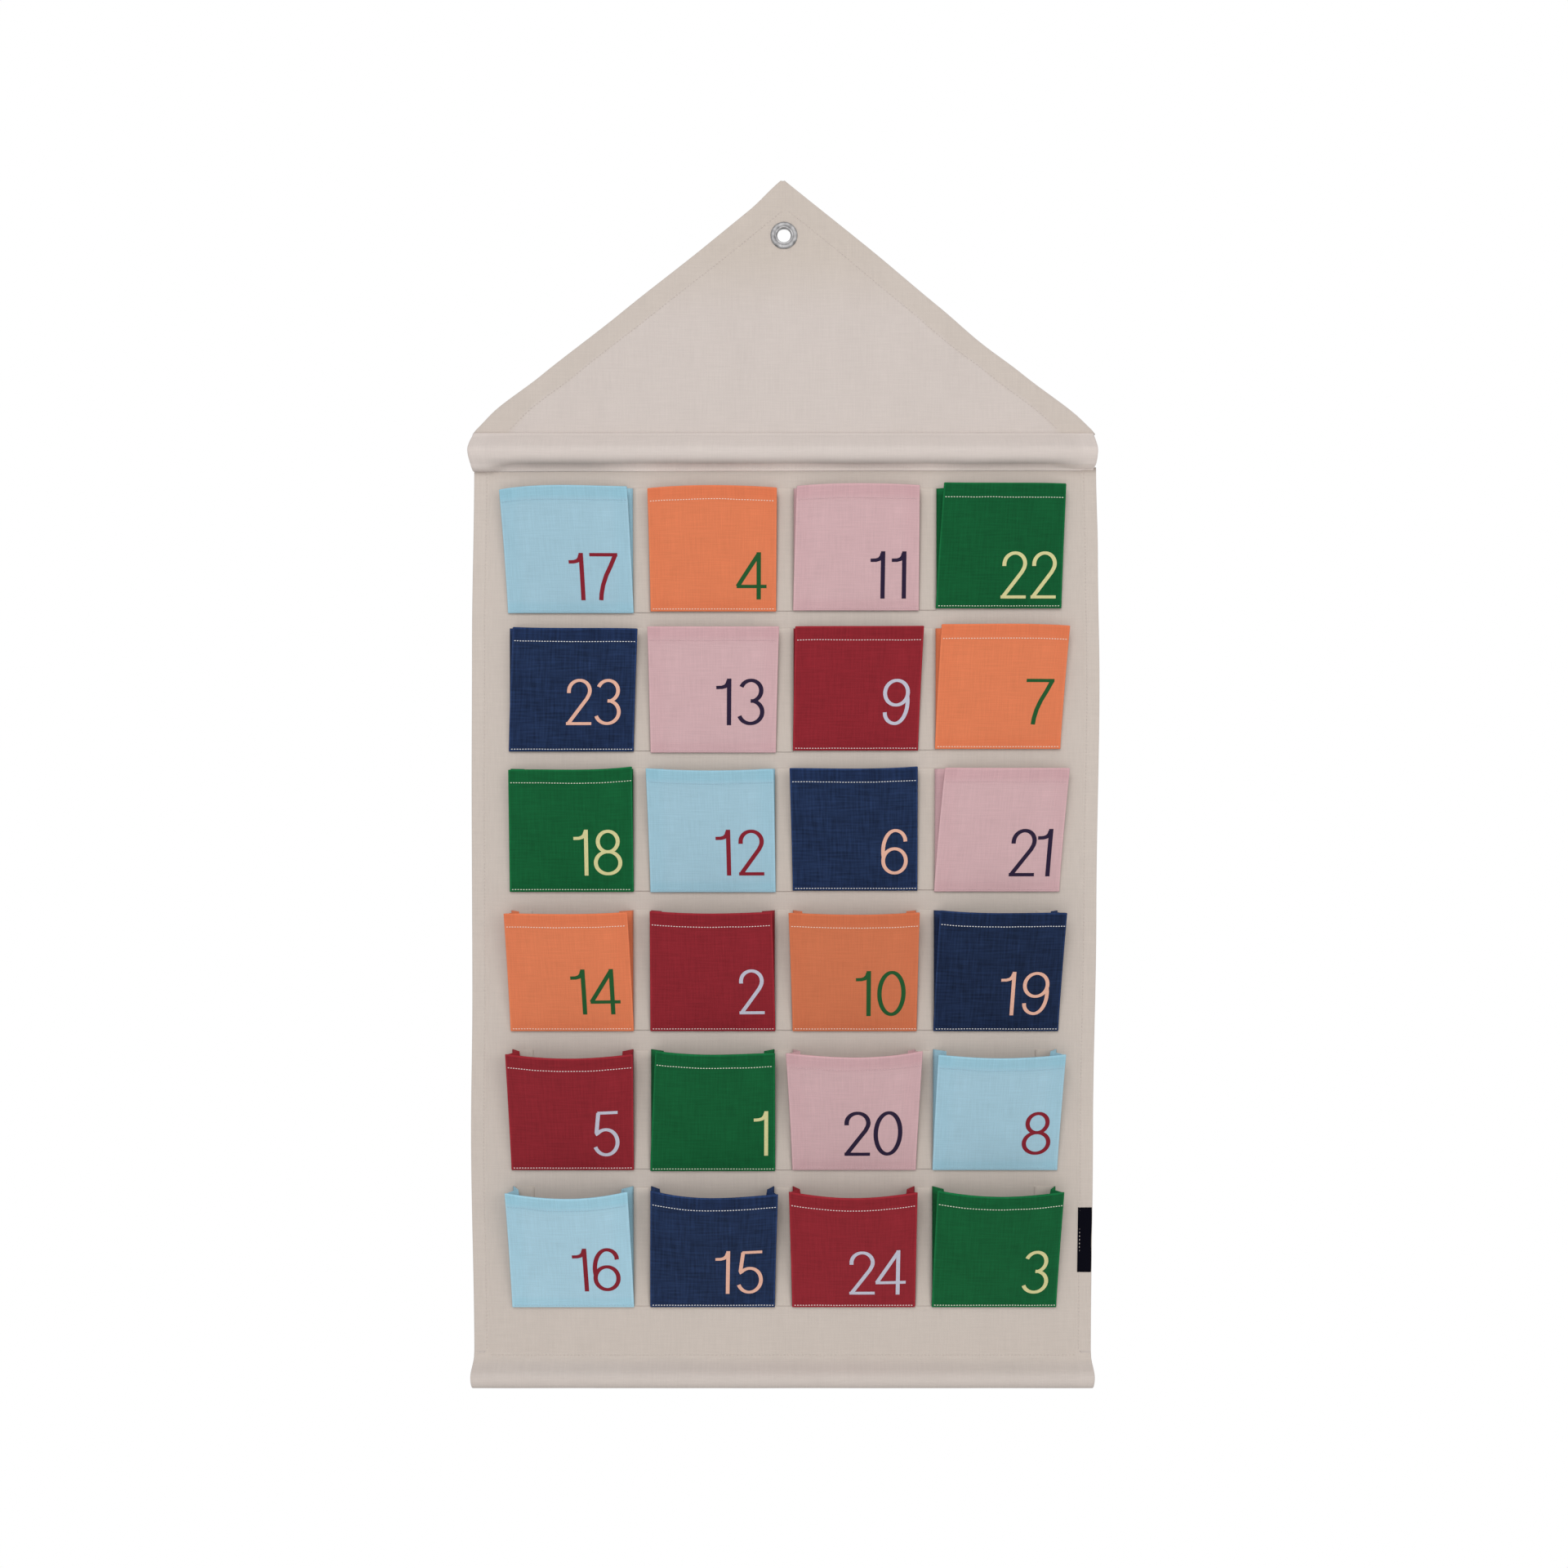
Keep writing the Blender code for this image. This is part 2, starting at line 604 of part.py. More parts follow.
def main():
    clear_scene()
    parts = new_collection("advent_calendar")
    helpers = new_collection("advent_calendar_helpers")
    materials = make_materials()
    canvas = materials["natural_canvas"]
    layout = pocket_layout()

    gable = empty("gable_hanger", (0, 0, 0), parts)
    panel = empty("panel_fold", (0, -FOLD_DEPTH, FOLD_Z), parts, gable)
    make_gable(parts, helpers, materials, gable)
    make_eyelet(parts, materials, gable)
    make_casing("top_rod_casing", top_casing_loops(), TOP_CASING_LENGTH, parts, canvas, panel)
    make_casing("bottom_rod_casing", bottom_casing_loops(), BOTTOM_CASING_LENGTH, parts, canvas, panel)
    make_rod("top_rod", TOP_ROD_Z, TOP_CASING_LENGTH, parts, materials["wood"], panel)
    make_rod("bottom_rod", BOTTOM_ROD_Z, BOTTOM_CASING_LENGTH, parts, materials["wood"], panel)
    make_panel(layout, parts, helpers, materials, panel)
    make_label(parts, materials, panel)
    for pocket in layout:
        make_front(pocket, parts, materials, panel)
        make_pleats(pocket, parts, helpers, materials, panel)


main()
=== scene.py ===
import math

import bmesh
import bpy
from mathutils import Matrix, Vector, noise


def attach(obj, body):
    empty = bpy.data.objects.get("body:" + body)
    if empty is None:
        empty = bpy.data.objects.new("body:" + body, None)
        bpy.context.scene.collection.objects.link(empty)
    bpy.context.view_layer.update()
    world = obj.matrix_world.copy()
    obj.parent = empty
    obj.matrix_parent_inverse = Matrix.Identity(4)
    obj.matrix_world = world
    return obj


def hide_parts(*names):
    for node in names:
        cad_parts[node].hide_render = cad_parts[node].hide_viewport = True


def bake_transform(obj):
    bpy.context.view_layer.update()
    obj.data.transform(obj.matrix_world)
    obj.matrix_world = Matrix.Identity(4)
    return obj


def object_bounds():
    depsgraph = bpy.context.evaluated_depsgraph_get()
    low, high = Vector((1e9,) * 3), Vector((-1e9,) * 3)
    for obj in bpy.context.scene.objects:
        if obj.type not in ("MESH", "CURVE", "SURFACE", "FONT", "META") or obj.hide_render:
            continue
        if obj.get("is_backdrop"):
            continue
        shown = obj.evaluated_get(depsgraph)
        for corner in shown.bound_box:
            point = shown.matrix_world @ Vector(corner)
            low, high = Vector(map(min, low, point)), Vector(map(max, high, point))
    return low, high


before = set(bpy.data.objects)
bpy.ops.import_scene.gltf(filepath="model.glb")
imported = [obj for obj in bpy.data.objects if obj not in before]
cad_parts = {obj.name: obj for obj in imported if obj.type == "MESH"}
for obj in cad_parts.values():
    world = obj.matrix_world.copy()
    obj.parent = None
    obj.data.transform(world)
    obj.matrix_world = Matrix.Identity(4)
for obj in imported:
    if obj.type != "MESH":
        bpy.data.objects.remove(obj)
cad_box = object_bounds()

# %% [markdown]
# ## The sizes
# Cloth is made from flat cuts, so the sizes here are those that a sewer needs: widths,
# hems and seams, in metres. Depths are measured out of the wall, towards the viewer.
# %% Sizes of the frame
APEX_Z = 0.0451  # the gable's tip, above the eyelet's middle
FOLD_Z = -0.1639  # the seam between the gable and the panel
CASING_FOOT_Z = -0.1939  # the top casing's sewn edge
PANEL_TOP = -0.1942
PANEL_BOTTOM = -0.9272
PANEL_LEFT = -0.2575
PANEL_TOP_WIDTH = 0.5170
PANEL_NARROWING = 0.0055  # how much narrower it is at its foot
ROD_RADIUS = 0.0070
ROD_DEPTH = 0.0081
TOP_ROD_Z = -0.1817
BOTTOM_ROD_Z = -0.9464

# %% Sizes of the pockets
FRONT_DEPTH = 0.0037  # how far a front's foot stands out
FOLD_STEP = 0.0009  # one layer of pocket cloth to the next
SEAM_DEPTH = 0.0016  # where a pleat is sewn to the strip
PLEAT_DEPTH = 0.0120  # from the pocket's edge in to the pleat's fold
POCKET_WIDTH = 0.1030
COLUMN_PITCH = 0.1185
ROW_PITCH = 0.1151
FIRST_FOOT_Z = -0.3129  # the foot of the first row
MOUTH_HEM = 0.0105
POCKET_CLOTH = 0.0006
LEAN_CURVE = 1.08  # over 1, a front leans out more towards its mouth
SIDE_CURVE = 1.2  # the same for its lean to a side
# Each row: the cloth's length up the front, how far the mouth's sides and middle stand out,
# and how far the row's foot was sewn off its place
ROWS = (
    (0.1040, 0.0070, 0.0120, 0.0000),
    (0.1018, 0.0080, 0.0130, 0.0011),
    (0.1015, 0.0080, 0.0130, 0.0000),
    (0.1005, 0.0170, 0.0240, -0.0014),
    (0.1005, 0.0180, 0.0260, -0.0016),
    (0.1005, 0.0200, 0.0280, -0.0002),
)
# Each pocket: its number, its cloth, how far its mouth's corners lean to the right, and how
# far the mouth rises at its left corner, its middle and its right corner, in millimetres
POCKETS = (
    (17, "light_blue", (-6.3, -4.8), (-3.6, -0.3, -1.0)),
    (4, "orange", (-2.2, 0.7), (-2.6, -0.4, -2.0)),
    (11, "pink", (2.8, 0.4), (-0.7, 1.2, 0.0)),
    (22, "green", (6.1, 3.0), (2.2, 1.6, 1.3)),
    (23, "navy", (4.4, 4.0), (-1.0, -1.7, -2.2)),
    (13, "pink", (-2.1, 2.7), (-0.5, -0.5, -0.5)),
    (9, "red", (1.8, 4.4), (-0.4, -0.1, 0.0)),
    (7, "orange", (4.7, 6.8), (1.4, 1.8, 0.2)),
    (18, "green", (-0.1, -0.7), (-2.2, -1.7, 0.4)),
    (12, "light_blue", (-3.4, -1.6), (-1.0, -2.4, -1.4)),
    (6, "navy", (-2.7, -0.2), (-0.8, -0.8, 0.5)),
    (21, "pink", (8.1, 7.5), (-0.6, -0.3, -0.8)),
    (14, "orange", (-3.2, -3.8), (-1.6, -0.2, -0.4)),
    (2, "red", (0.6, -2.6), (0.5, 0.3, -0.3)),
    (10, "orange", (-3.4, 1.4), (-1.0, -0.7, -0.7)),
    (19, "navy", (3.9, 4.8), (1.0, 0.6, -1.0)),
    (5, "red", (-2.6, 0.8), (-1.3, -2.1, -1.3)),
    (1, "green", (5.3, 0.1), (1.3, 1.2, -0.4)),
    (20, "pink", (-5.4, 4.4), (-0.5, -1.1, 1.2)),
    (8, "light_blue", (3.2, 4.6), (-1.8, -1.8, -1.5)),
    (16, "light_blue", (-3.4, -3.6), (-0.8, -1.7, 0.4)),
    (15, "navy", (1.5, 2.8), (1.5, -1.1, -1.5)),
    (24, "red", (-2.8, 0.6), (0.5, -1.0, 0.0)),
    (3, "green", (3.0, 3.7), (1.5, 0.0, 0.2)),
)
# The pockets whose feet were sewn off their row, in millimetres upwards
FEET = {4: 1.4, 11: 2.1, 22: 4.0, 23: -0.8, 13: -1.7, 7: 1.3, 18: -1.0, 12: -1.3, 21: -0.8, 1: -0.8}
print(len(POCKETS), "pockets in", len(ROWS), "rows")

# %% [markdown]
# ## The studio
# The camera stands level with the calendar's middle, straight in front of it. The white
# behind comes from the world's colour as the camera sees it, so the lamps stay at a plain
# level. A small pale floor lies below, out of the picture.
# %% Camera
CAMERA_DISTANCE = 1.5
CAMERA_HEIGHT = -0.4552
SENSOR_WIDTH = 36  # in millimetres, as the focal length is
FOCAL_LENGTH = 41.42
PICTURE_WIDTH = 1920  # in pixels

camera_data = bpy.data.cameras.new("front_camera")
camera_data.sensor_width = SENSOR_WIDTH
camera_data.lens = FOCAL_LENGTH
camera = bpy.data.objects.new("front_camera", camera_data)
camera.location = (0, -CAMERA_DISTANCE, CAMERA_HEIGHT)
camera.rotation_euler = (math.radians(90), 0, 0)
bpy.context.scene.collection.objects.link(camera)
bpy.context.scene.camera = camera
bpy.context.scene.view_settings.view_transform = "Standard"
print("the camera stands", CAMERA_DISTANCE, "m away")


# %% Small helpers for nodes
def link(tree, source, target):
    tree.links.new(source, target)


def set_inputs(made, inputs):
    for name, value in inputs.items():
        made.inputs[name.replace("_", " ")].default_value = value
    return made


def node(tree, kind, **inputs):
    return set_inputs(tree.nodes.new(kind), inputs)


def calculate(tree, operation, first, second=None, third=None):
    """The outcome of a sum, whose values are numbers or sockets."""
    made = tree.nodes.new("ShaderNodeMath")
    made.operation = operation
    for socket, value in zip(made.inputs, (first, second, third)):
        if value is None:
            continue
        if isinstance(value, (int, float)):
            socket.default_value = value
        else:
            link(tree, value, socket)
    return made.outputs[0]


def new_finish(name, **inputs):
    """A new material with its nodes and its shader, whose inputs are given by name."""
    finish = bpy.data.materials.new(name)
    finish.use_nodes = True
    shader = finish.node_tree.nodes["Principled BSDF"]
    return finish, finish.node_tree, set_inputs(shader, inputs)


def mix_colours(tree, share, first, second):
    """A colour between two, by a share from 0 for the first to 1 for the second."""
    mix = node(tree, "ShaderNodeMix")
    mix.data_type = "RGBA"
    link(tree, share, mix.inputs[0])
    mix.inputs[6].default_value = (*first, 1)
    mix.inputs[7].default_value = (*second, 1)
    return mix.outputs[2]


def tint(tree, shader, colour, tone):
    """Gives the shader a colour, or a socket's colour, made paler or darker by a tone."""
    toned = node(tree, "ShaderNodeVectorMath")
    toned.operation = "SCALE"
    if isinstance(colour, tuple):
        toned.inputs[0].default_value = colour
    else:
        link(tree, colour, toned.inputs[0])
    link(tree, tone, toned.inputs["Scale"])
    link(tree, toned.outputs[0], shader.inputs["Base Color"])


def emboss(tree, shader, height, strength, distance):
    """Raises the finish by a height from 0 to 1, over a distance in metres."""
    bump = node(tree, "ShaderNodeBump", Strength=strength, Distance=distance)
    link(tree, height, bump.inputs["Height"])
    link(tree, bump.outputs[0], shader.inputs["Normal"])


# %% World, lamps and floor
AMBIENT = 0.47  # how strongly the world lights the cloth


def make_world(ambient):
    world = bpy.data.worlds.new("studio")
    world.use_nodes = True
    tree = world.node_tree
    background = tree.nodes["Background"]
    background.inputs["Color"].default_value = (1, 1, 1, 1)
    rays = node(tree, "ShaderNodeLightPath").outputs
    seen = calculate(tree, "MAXIMUM", rays["Is Camera Ray"], rays["Is Glossy Ray"])
    seen = calculate(tree, "MAXIMUM", seen, rays["Is Transmission Ray"])
    strength = node(tree, "ShaderNodeMapRange", To_Min=ambient, To_Max=1)
    link(tree, seen, strength.inputs["Value"])
    link(tree, strength.outputs["Result"], background.inputs["Strength"])
    bpy.context.scene.world = world


def add_lamp(name, place, aim, size, power, colour=(1, 1, 1)):
    bpy.ops.object.light_add(type="AREA", location=place)
    lamp = bpy.context.object
    lamp.name = name
    lamp.data.shape = "DISK"
    lamp.data.size = size
    lamp.data.energy = power
    lamp.data.color = colour
    lamp.rotation_euler = (Vector(aim) - Vector(place)).to_track_quat("-Z", "Y").to_euler()


make_world(AMBIENT)
add_lamp("key_softbox", (-0.4, -2.35, 1.0), (0, 0, -0.4), 1.7, 28.5)
add_lamp("fill_softbox", (1.4, -2.2, 0.0), (0, 0, -0.45), 1.6, 11, (1.0, 0.965, 0.90))
add_lamp("low_softbox", (-0.2, -2.3, -1.1), (0, 0, -0.3), 1.4, 9)
for name in ("key_softbox", "fill_softbox"):
    bpy.data.objects[name].visible_glossy = False  # the real eyelet mirrors mostly a white room
bpy.ops.mesh.primitive_plane_add(size=1, location=(0, -0.25, -1.31))
floor = bpy.context.object
floor.name = "studio_floor"
floor.scale = (1.8, 1.3, 1)
floor_finish = new_finish("pale_floor", Base_Color=(0.85, 0.85, 0.84, 1), Roughness=0.8)
floor.data.materials.append(floor_finish[0])
floor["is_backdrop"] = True
print("3 lamps and a floor")

# %% [markdown]
# ## Woven cloth
# All the cloth is a plain weave: each warp thread passes over one weft thread and under the
# next. The weave is drawn on the piece's own flat map, in metres, so that it bends with the
# cloth. Slubs, the thick stretches in a spun thread, run along both directions. Where two
# layers lie on each other the colour is deeper, and a pressed edge is a little paler. Some
# sheets also carry painted light and shade: whole pockets made paler or darker for how the
# light falls on them, the casing's top fold paler as a painted highlight, and the casing's
# shaded underside made paler. So a sheet carries values for its layers, its creases and its
# painted light, that the material reads.


# %% What a cloth's material reads
def flat_map(tree):
    """The place on the cloth's flat cut, in metres."""
    uv = node(tree, "ShaderNodeUVMap")
    uv.uv_map = "flat"
    return uv.outputs[0]


def fact(tree, name):
    """The value that a sheet's points carry under this name."""
    attribute = node(tree, "ShaderNodeAttribute")
    attribute.attribute_name = name
    return attribute.outputs["Fac"]


def stretched_noise(tree, uv, across, up, detail=2.0):
    """Noise with so many features to the metre across the cloth and up it."""
    mapping = node(tree, "ShaderNodeMapping", Scale=(across, up, 1))
    link(tree, uv, mapping.inputs["Vector"])
    texture = node(tree, "ShaderNodeTexNoise", Scale=1.0, Detail=detail)
    link(tree, mapping.outputs[0], texture.inputs["Vector"])
    return texture.outputs["Fac"]


# %% The plain weave
def weave_height(tree, uv, thread):
    """0 between the threads and 1 on top of one, with warp and weft changing places."""
    split = node(tree, "ShaderNodeSeparateXYZ")
    link(tree, uv, split.inputs[0])
    warp, weft = (
        calculate(tree, "SINE", calculate(tree, "MULTIPLY", split.outputs[k], math.pi / thread))
        for k in (0, 1)
    )
    turn = calculate(tree, "MULTIPLY_ADD", calculate(tree, "MULTIPLY", warp, weft), 0.5, 0.5)
    over = calculate(tree, "MULTIPLY", calculate(tree, "ABSOLUTE", warp), turn)
    rest = calculate(tree, "SUBTRACT", 1.0, turn)
    under = calculate(tree, "MULTIPLY", calculate(tree, "ABSOLUTE", weft), rest)
    return calculate(tree, "ADD", over, under)


COTTON_THREAD = 0.00048  # from the middle of one thread to the next


def cloth_finish(
    name, colour, double, thread=COTTON_THREAD, slub=0.2, paler=0.12,
    blotch=0.12, sheen=0.1, grain=0.55, mottles=(38, 38),
):
    """A woven cotton. double is how its colour changes where two layers lie."""
    finish, tree, shader = new_finish(
        name, Roughness=0.92, Specular_IOR_Level=0.15, Sheen_Weight=sheen, Sheen_Roughness=0.5
    )
    uv = flat_map(tree)
    weave = weave_height(tree, uv, thread)
    weft_slub = stretched_noise(tree, uv, 45, grain / thread)
    warp_slub = stretched_noise(tree, uv, grain / thread, 45)
    mottle = stretched_noise(tree, uv, *mottles, 4.0)
    slubs = calculate(tree, "ADD", weft_slub, warp_slub)
    tone = calculate(tree, "MULTIPLY_ADD", slubs, slub, 1.0 - slub)
    for value, weight, base in ((mottle, blotch, 1 - blotch / 2), (weave, 0.20, 0.87)):
        share = calculate(tree, "MULTIPLY_ADD", value, weight, base)
        tone = calculate(tree, "MULTIPLY", tone, share)
    # Painted light and shade: the sheet's value under this name makes the colour paler above 0 and
    # darker below
    tone = calculate(tree, "MULTIPLY_ADD", tone, fact(tree, "painted_light"), tone)
    # A pressed edge is paler; on the casing's top fold this is also a painted highlight
    pressed = calculate(tree, "MULTIPLY_ADD", fact(tree, "crease"), paler, 1.0)
    tone = calculate(tree, "MULTIPLY", tone, pressed)
    deeper = tuple(c * d for c, d in zip(colour, double))
    tint(tree, shader, mix_colours(tree, fact(tree, "layers"), colour, deeper), tone)
    emboss(tree, shader, calculate(tree, "MULTIPLY_ADD", slubs, 0.5, weave), 0.45, 0.00025)
    return finish


# %% The cloths
CLOTHS = {
    "natural": cloth_finish(
        "natural_canvas_weave", (0.618, 0.552, 0.519), (0.94, 0.93, 0.89),
        thread=0.00055, slub=0.12, blotch=0.07, mottles=(34, 6),
    ),
    "light_blue": cloth_finish("light_blue_weave", (0.345, 0.535, 0.64), (0.82, 0.96, 0.98)),
    "orange": cloth_finish("orange_weave", (0.72, 0.205, 0.093), (0.98, 0.90, 0.88)),
    "pink": cloth_finish("pink_weave", (0.61, 0.405, 0.425), (0.95, 0.88, 0.90)),
    # Dark cloths shine less, and their slubs and pressed edges show more
    "green": cloth_finish(
        "green_weave", (0.0055, 0.100, 0.031), (0.9, 0.97, 0.95),
        slub=0.5, paler=0.6, blotch=0.3, sheen=0.02, grain=0.35,
    ),
    "navy": cloth_finish(
        "navy_weave", (0.0130, 0.0265, 0.072), (0.85, 0.88, 0.95),
        slub=1.2, paler=0.9, blotch=0.6, sheen=0.02, grain=0.3,
    ),
    "red": cloth_finish(
        "red_weave", (0.25, 0.019, 0.028), (0.93, 0.9, 0.9),
        slub=0.4, paler=0.4, blotch=0.2, sheen=0.02, grain=0.4,
    ),
}
SLOTS = {name: f"{name}_cotton" for name in CLOTHS}
SLOTS["natural"] = "natural_canvas"
print(len(CLOTHS), "cloths")


# %% [markdown]
# ## Cutting and hanging a sheet
# A sheet starts as a flat grid of its cut size. Its rows and columns can lie closer together
# where the cloth will be folded. Each point is then carried to the place where it hangs, and
# Solidify gives the cloth its thickness. The cloth map keeps the flat cut in metres.


# %% Sheets of cloth
def even(start, end, step):
    """Positions from start to end, about a step apart."""
    count = max(1, round((end - start) / step))
    return [start + (end - start) * i / count for i in range(count + 1)]


def positions(*stretches):
    """Joins stretches of positions, each given as (start, end, step)."""
    found = []
    for stretch in stretches:
        found += [p for p in even(*stretch) if not found or p > found[-1] + 0.00001]
    return found


def mirrored(edge, inner):
    """Positions with the same edge at both ends: mirrored, then the inner ones, then as given."""
    return [-a for a in reversed(edge)] + inner + edge


def select_only(*pieces):
    """Selects these pieces and nothing else, and makes the first one active."""
    bpy.ops.object.select_all(action="DESELECT")
    for piece in reversed(pieces):
        piece.select_set(True)
        bpy.context.view_layer.objects.active = piece


def apply_modifiers(piece):
    select_only(piece)
    for modifier in list(piece.modifiers):
        bpy.ops.object.modifier_apply(modifier=modifier.name)


def thicken(piece, thickness):
    """Gives a flat piece its thickness, half of it to each side."""
    solidify = piece.modifiers.new("thickness", "SOLIDIFY")
    solidify.thickness = thickness
    solidify.offset = 0
    apply_modifiers(piece)


def grid_of(columns, rows):
    """A flat grid, and for each of its points the column and row that it stands in."""
    select_only()
    bpy.ops.mesh.primitive_grid_add(
        x_subdivisions=columns - 1, y_subdivisions=rows - 1, size=2, calc_uvs=True
    )
    grid = bpy.context.object
    spots = [
        (round((v.co.x + 1) / 2 * (columns - 1)), round((v.co.y + 1) / 2 * (rows - 1)))
        for v in grid.data.vertices
    ]
    return grid, spots


def hang_sheet(name, cloth, across, up, place, thickness, facts=None, cut=None):
    """Cuts a sheet at these positions across and up, and hangs each point at place(a, b)."""
    piece, spots = grid_of(len(across), len(up))
    piece.name = name
    mesh = piece.data
    flat = [(across[column], up[row]) for column, row in spots]
    for vert, (a, b) in zip(mesh.vertices, flat):
        vert.co = place(a, b)
    mesh.uv_layers[0].name = "flat"
    for loop in mesh.loops:
        a, b = flat[loop.vertex_index]
        mesh.uv_layers[0].data[loop.index].uv = cut(a, b) if cut else (a, b)
    for fact, value in (facts or {}).items():
        attribute = mesh.attributes.new(fact, "FLOAT", "POINT")
        attribute.data.foreach_set("value", [value(a, b) for a, b in flat])
    thicken(piece, thickness)
    mesh.shade_smooth()
    mesh.materials.append(CLOTHS[cloth])
    return piece


def fold_over(past, radius):
    """How far a cloth reaches and how far behind it lies, so far past the start of a fold.

    Before the fold, where past is below 0, the cloth reaches as far as it is long.
    """
    if past <= 0:
        return past, 0.0
    if past < math.pi * radius:
        return radius * math.sin(past / radius), radius * (1 - math.cos(past / radius))
    return math.pi * radius - past, 2 * radius


def smooth(low, high, value):
    """0 below low and 1 above high, with an even bend between. low may be the larger one."""
    share = min(1.0, max(0.0, (value - low) / (high - low)))
    return share * share * (3 - 2 * share)


def ripple(x, z, size, seed):
    """Soft noise between -1 and 1, whose waves are about this size."""
    return noise.noise(Vector((x / size, z / size, seed)))


# %% [markdown]
# ## The stitches
# A lockstitch shows as a row of short, slightly sunk threads. One stitch is modelled from a
# low cylinder whose ends are drawn in, and is copied along each seam with a small change in
# its angle, as a hand-guided seam has.


# %% One stitch
THREADS = {
    "natural": (0.64, 0.57, 0.525),
    "light_blue": (0.38, 0.58, 0.69),
    "orange": (0.97, 0.80, 0.70),
    "pink": (0.68, 0.47, 0.50),
    "green": (0.86, 0.88, 0.74),
    "navy": (0.88, 0.88, 0.90),
    "red": (0.95, 0.80, 0.79),
}


def thread_finish(name, colour):
    """Spun thread: its plies run round it in slanted bands."""
    finish, tree, shader = new_finish(name, Roughness=0.75, Sheen_Weight=0.1)
    plies = node(tree, "ShaderNodeTexWave", Scale=1400.0, Distortion=1.5)
    plies.bands_direction = "DIAGONAL"
    link(tree, node(tree, "ShaderNodeTexCoord").outputs["Object"], plies.inputs["Vector"])
    dark, pale = [0.8 * c for c in colour], [min(1.0, 1.08 * c) for c in colour]
    bands = mix_colours(tree, plies.outputs["Fac"], dark, pale)
    link(tree, bands, shader.inputs["Base Color"])
    emboss(tree, shader, plies.outputs["Fac"], 0.4, 0.0001)
    return finish


THREAD_FINISHES = {name: thread_finish(f"{name}_thread", c) for name, c in THREADS.items()}

THREAD_RADIUS = 0.00034
STITCH_LENGTH = 0.0009  # without its ends

select_only()
bpy.ops.mesh.primitive_cylinder_add(
    vertices=6, radius=THREAD_RADIUS, depth=STITCH_LENGTH, rotation=(0, math.pi / 2, 0)
)
stitch = bpy.context.object
stitch.name = "stitch_pattern"
bpy.ops.object.mode_set(mode="EDIT")
bpy.ops.mesh.select_all(action="DESELECT")
shape = bmesh.from_edit_mesh(stitch.data)
for face in shape.faces:
    face.select = len(face.verts) == 6
bpy.ops.mesh.extrude_region_shrink_fatten(TRANSFORM_OT_shrink_fatten={"value": 0.00026})
bpy.ops.transform.resize(value=(1, 0.45, 0.45))
bpy.ops.object.mode_set(mode="OBJECT")
bpy.ops.object.transform_apply(location=False, rotation=True, scale=True)
stitch_mesh = stitch.data
print("a stitch has", len(stitch_mesh.polygons), "faces")
bpy.data.objects.remove(stitch)


# %% A row of stitches
def sew(name, thread, path, step=0.0023, seed=0.0):
    """Copies the stitch along a path of points, one every step."""
    bm = bmesh.new()
    carried = 0.5 * step
    count = 0
    for start, end in zip(path, path[1:]):
        start, end = Vector(start), Vector(end)
        run = end - start
        while carried <= run.length:
            middle = start + run * (carried / run.length)
            first = len(bm.verts)
            bm.from_mesh(stitch_mesh)
            bm.verts.ensure_lookup_table()
            turn = Vector((1, 0, 0)).rotation_difference(run)
            sway = 0.00012 * noise.noise(Vector((count * 0.31, seed, 0.5)))
            for vert in bm.verts[first:]:
                vert.co = turn @ vert.co + middle + Vector((0, 0, sway))
            carried += step
            count += 1
        carried -= run.length
    mesh = bpy.data.meshes.new(name)
    bm.to_mesh(mesh)
    bm.free()
    mesh.shade_smooth()
    seam = bpy.data.objects.new(name, mesh)
    bpy.context.scene.collection.objects.link(seam)
    mesh.materials.append(THREAD_FINISHES[thread])
    return seam


# %% [markdown]
# ## The back panel
# The panel is one length of canvas, turned back and sewn down each side. The turned edge
# lifts the cloth off the wall by its own thickness, which is what shows from the front.


# %% The panel's edges and depth
PANEL_CLOTH = 0.0006
SIDE_HEM = 0.0115


def panel_width(z):
    return PANEL_TOP_WIDTH - PANEL_NARROWING * (PANEL_TOP - z) / (PANEL_TOP - PANEL_BOTTOM)


# Where the edges wander to, by the share of the way down the panel
LEFT_EDGE = (
    (0, -0.2567), (0.2, -0.2585), (0.35, -0.2588), (0.6, -0.2582), (0.75, -0.2593), (1, -0.2566)
)
RIGHT_EDGE = (
    (0, 0.2586), (0.1, 0.2601), (0.24, 0.2614), (0.5, 0.2588), (0.75, 0.2560), (1, 0.2542)
)


def between(table, value):
    """Reads a value between the two nearest entries of a table of (key, value)."""
    for (low, first), (high, second) in zip(table, table[1:]):
        if value <= high:
            return first + (second - first) * smooth(low, high, value)
    return table[-1][1]


def panel_edges(z):
    """The left and right edges, which wander a little as cut and sewn cloth does."""
    share = min(1.0, max(0.0, (PANEL_TOP - z) / (PANEL_TOP - PANEL_BOTTOM)))
    return between(LEFT_EDGE, share), between(RIGHT_EDGE, share)


def panel_depth(x, z):
    """The depth of the panel cloth's middle."""
    left, right = panel_edges(z)
    edge = min(x - left, right - x)
    lift = 1 - smooth(SIDE_HEM - 0.001, SIDE_HEM + 0.002, edge)
    calm = smooth(0, 0.03, PANEL_TOP - z) * smooth(0, 0.03, z - PANEL_BOTTOM)
    wave = 0.0005 * calm * (0.5 + 0.5 * ripple(x, z, 0.09, 3.0))
    return 0.0007 + 0.0006 * lift + wave * (1 - 0.5 * lift)


# %% [markdown]
# At the bottom the same cloth goes round the lower rod and up behind it, where it is sewn.
# Seen from the side, its path is a list of points: up from the seam behind, round the rod
# and, in a smooth curve, on to the flat of the panel.


# %% Paths round the rods
def arc(centre, radius, start, end, steps):
    """Points (depth, z) on a circle, from one angle to another."""
    angles = [start + (end - start) * i / steps for i in range(steps + 1)]
    return [(centre[0] + radius * math.cos(a), centre[1] + radius * math.sin(a)) for a in angles]


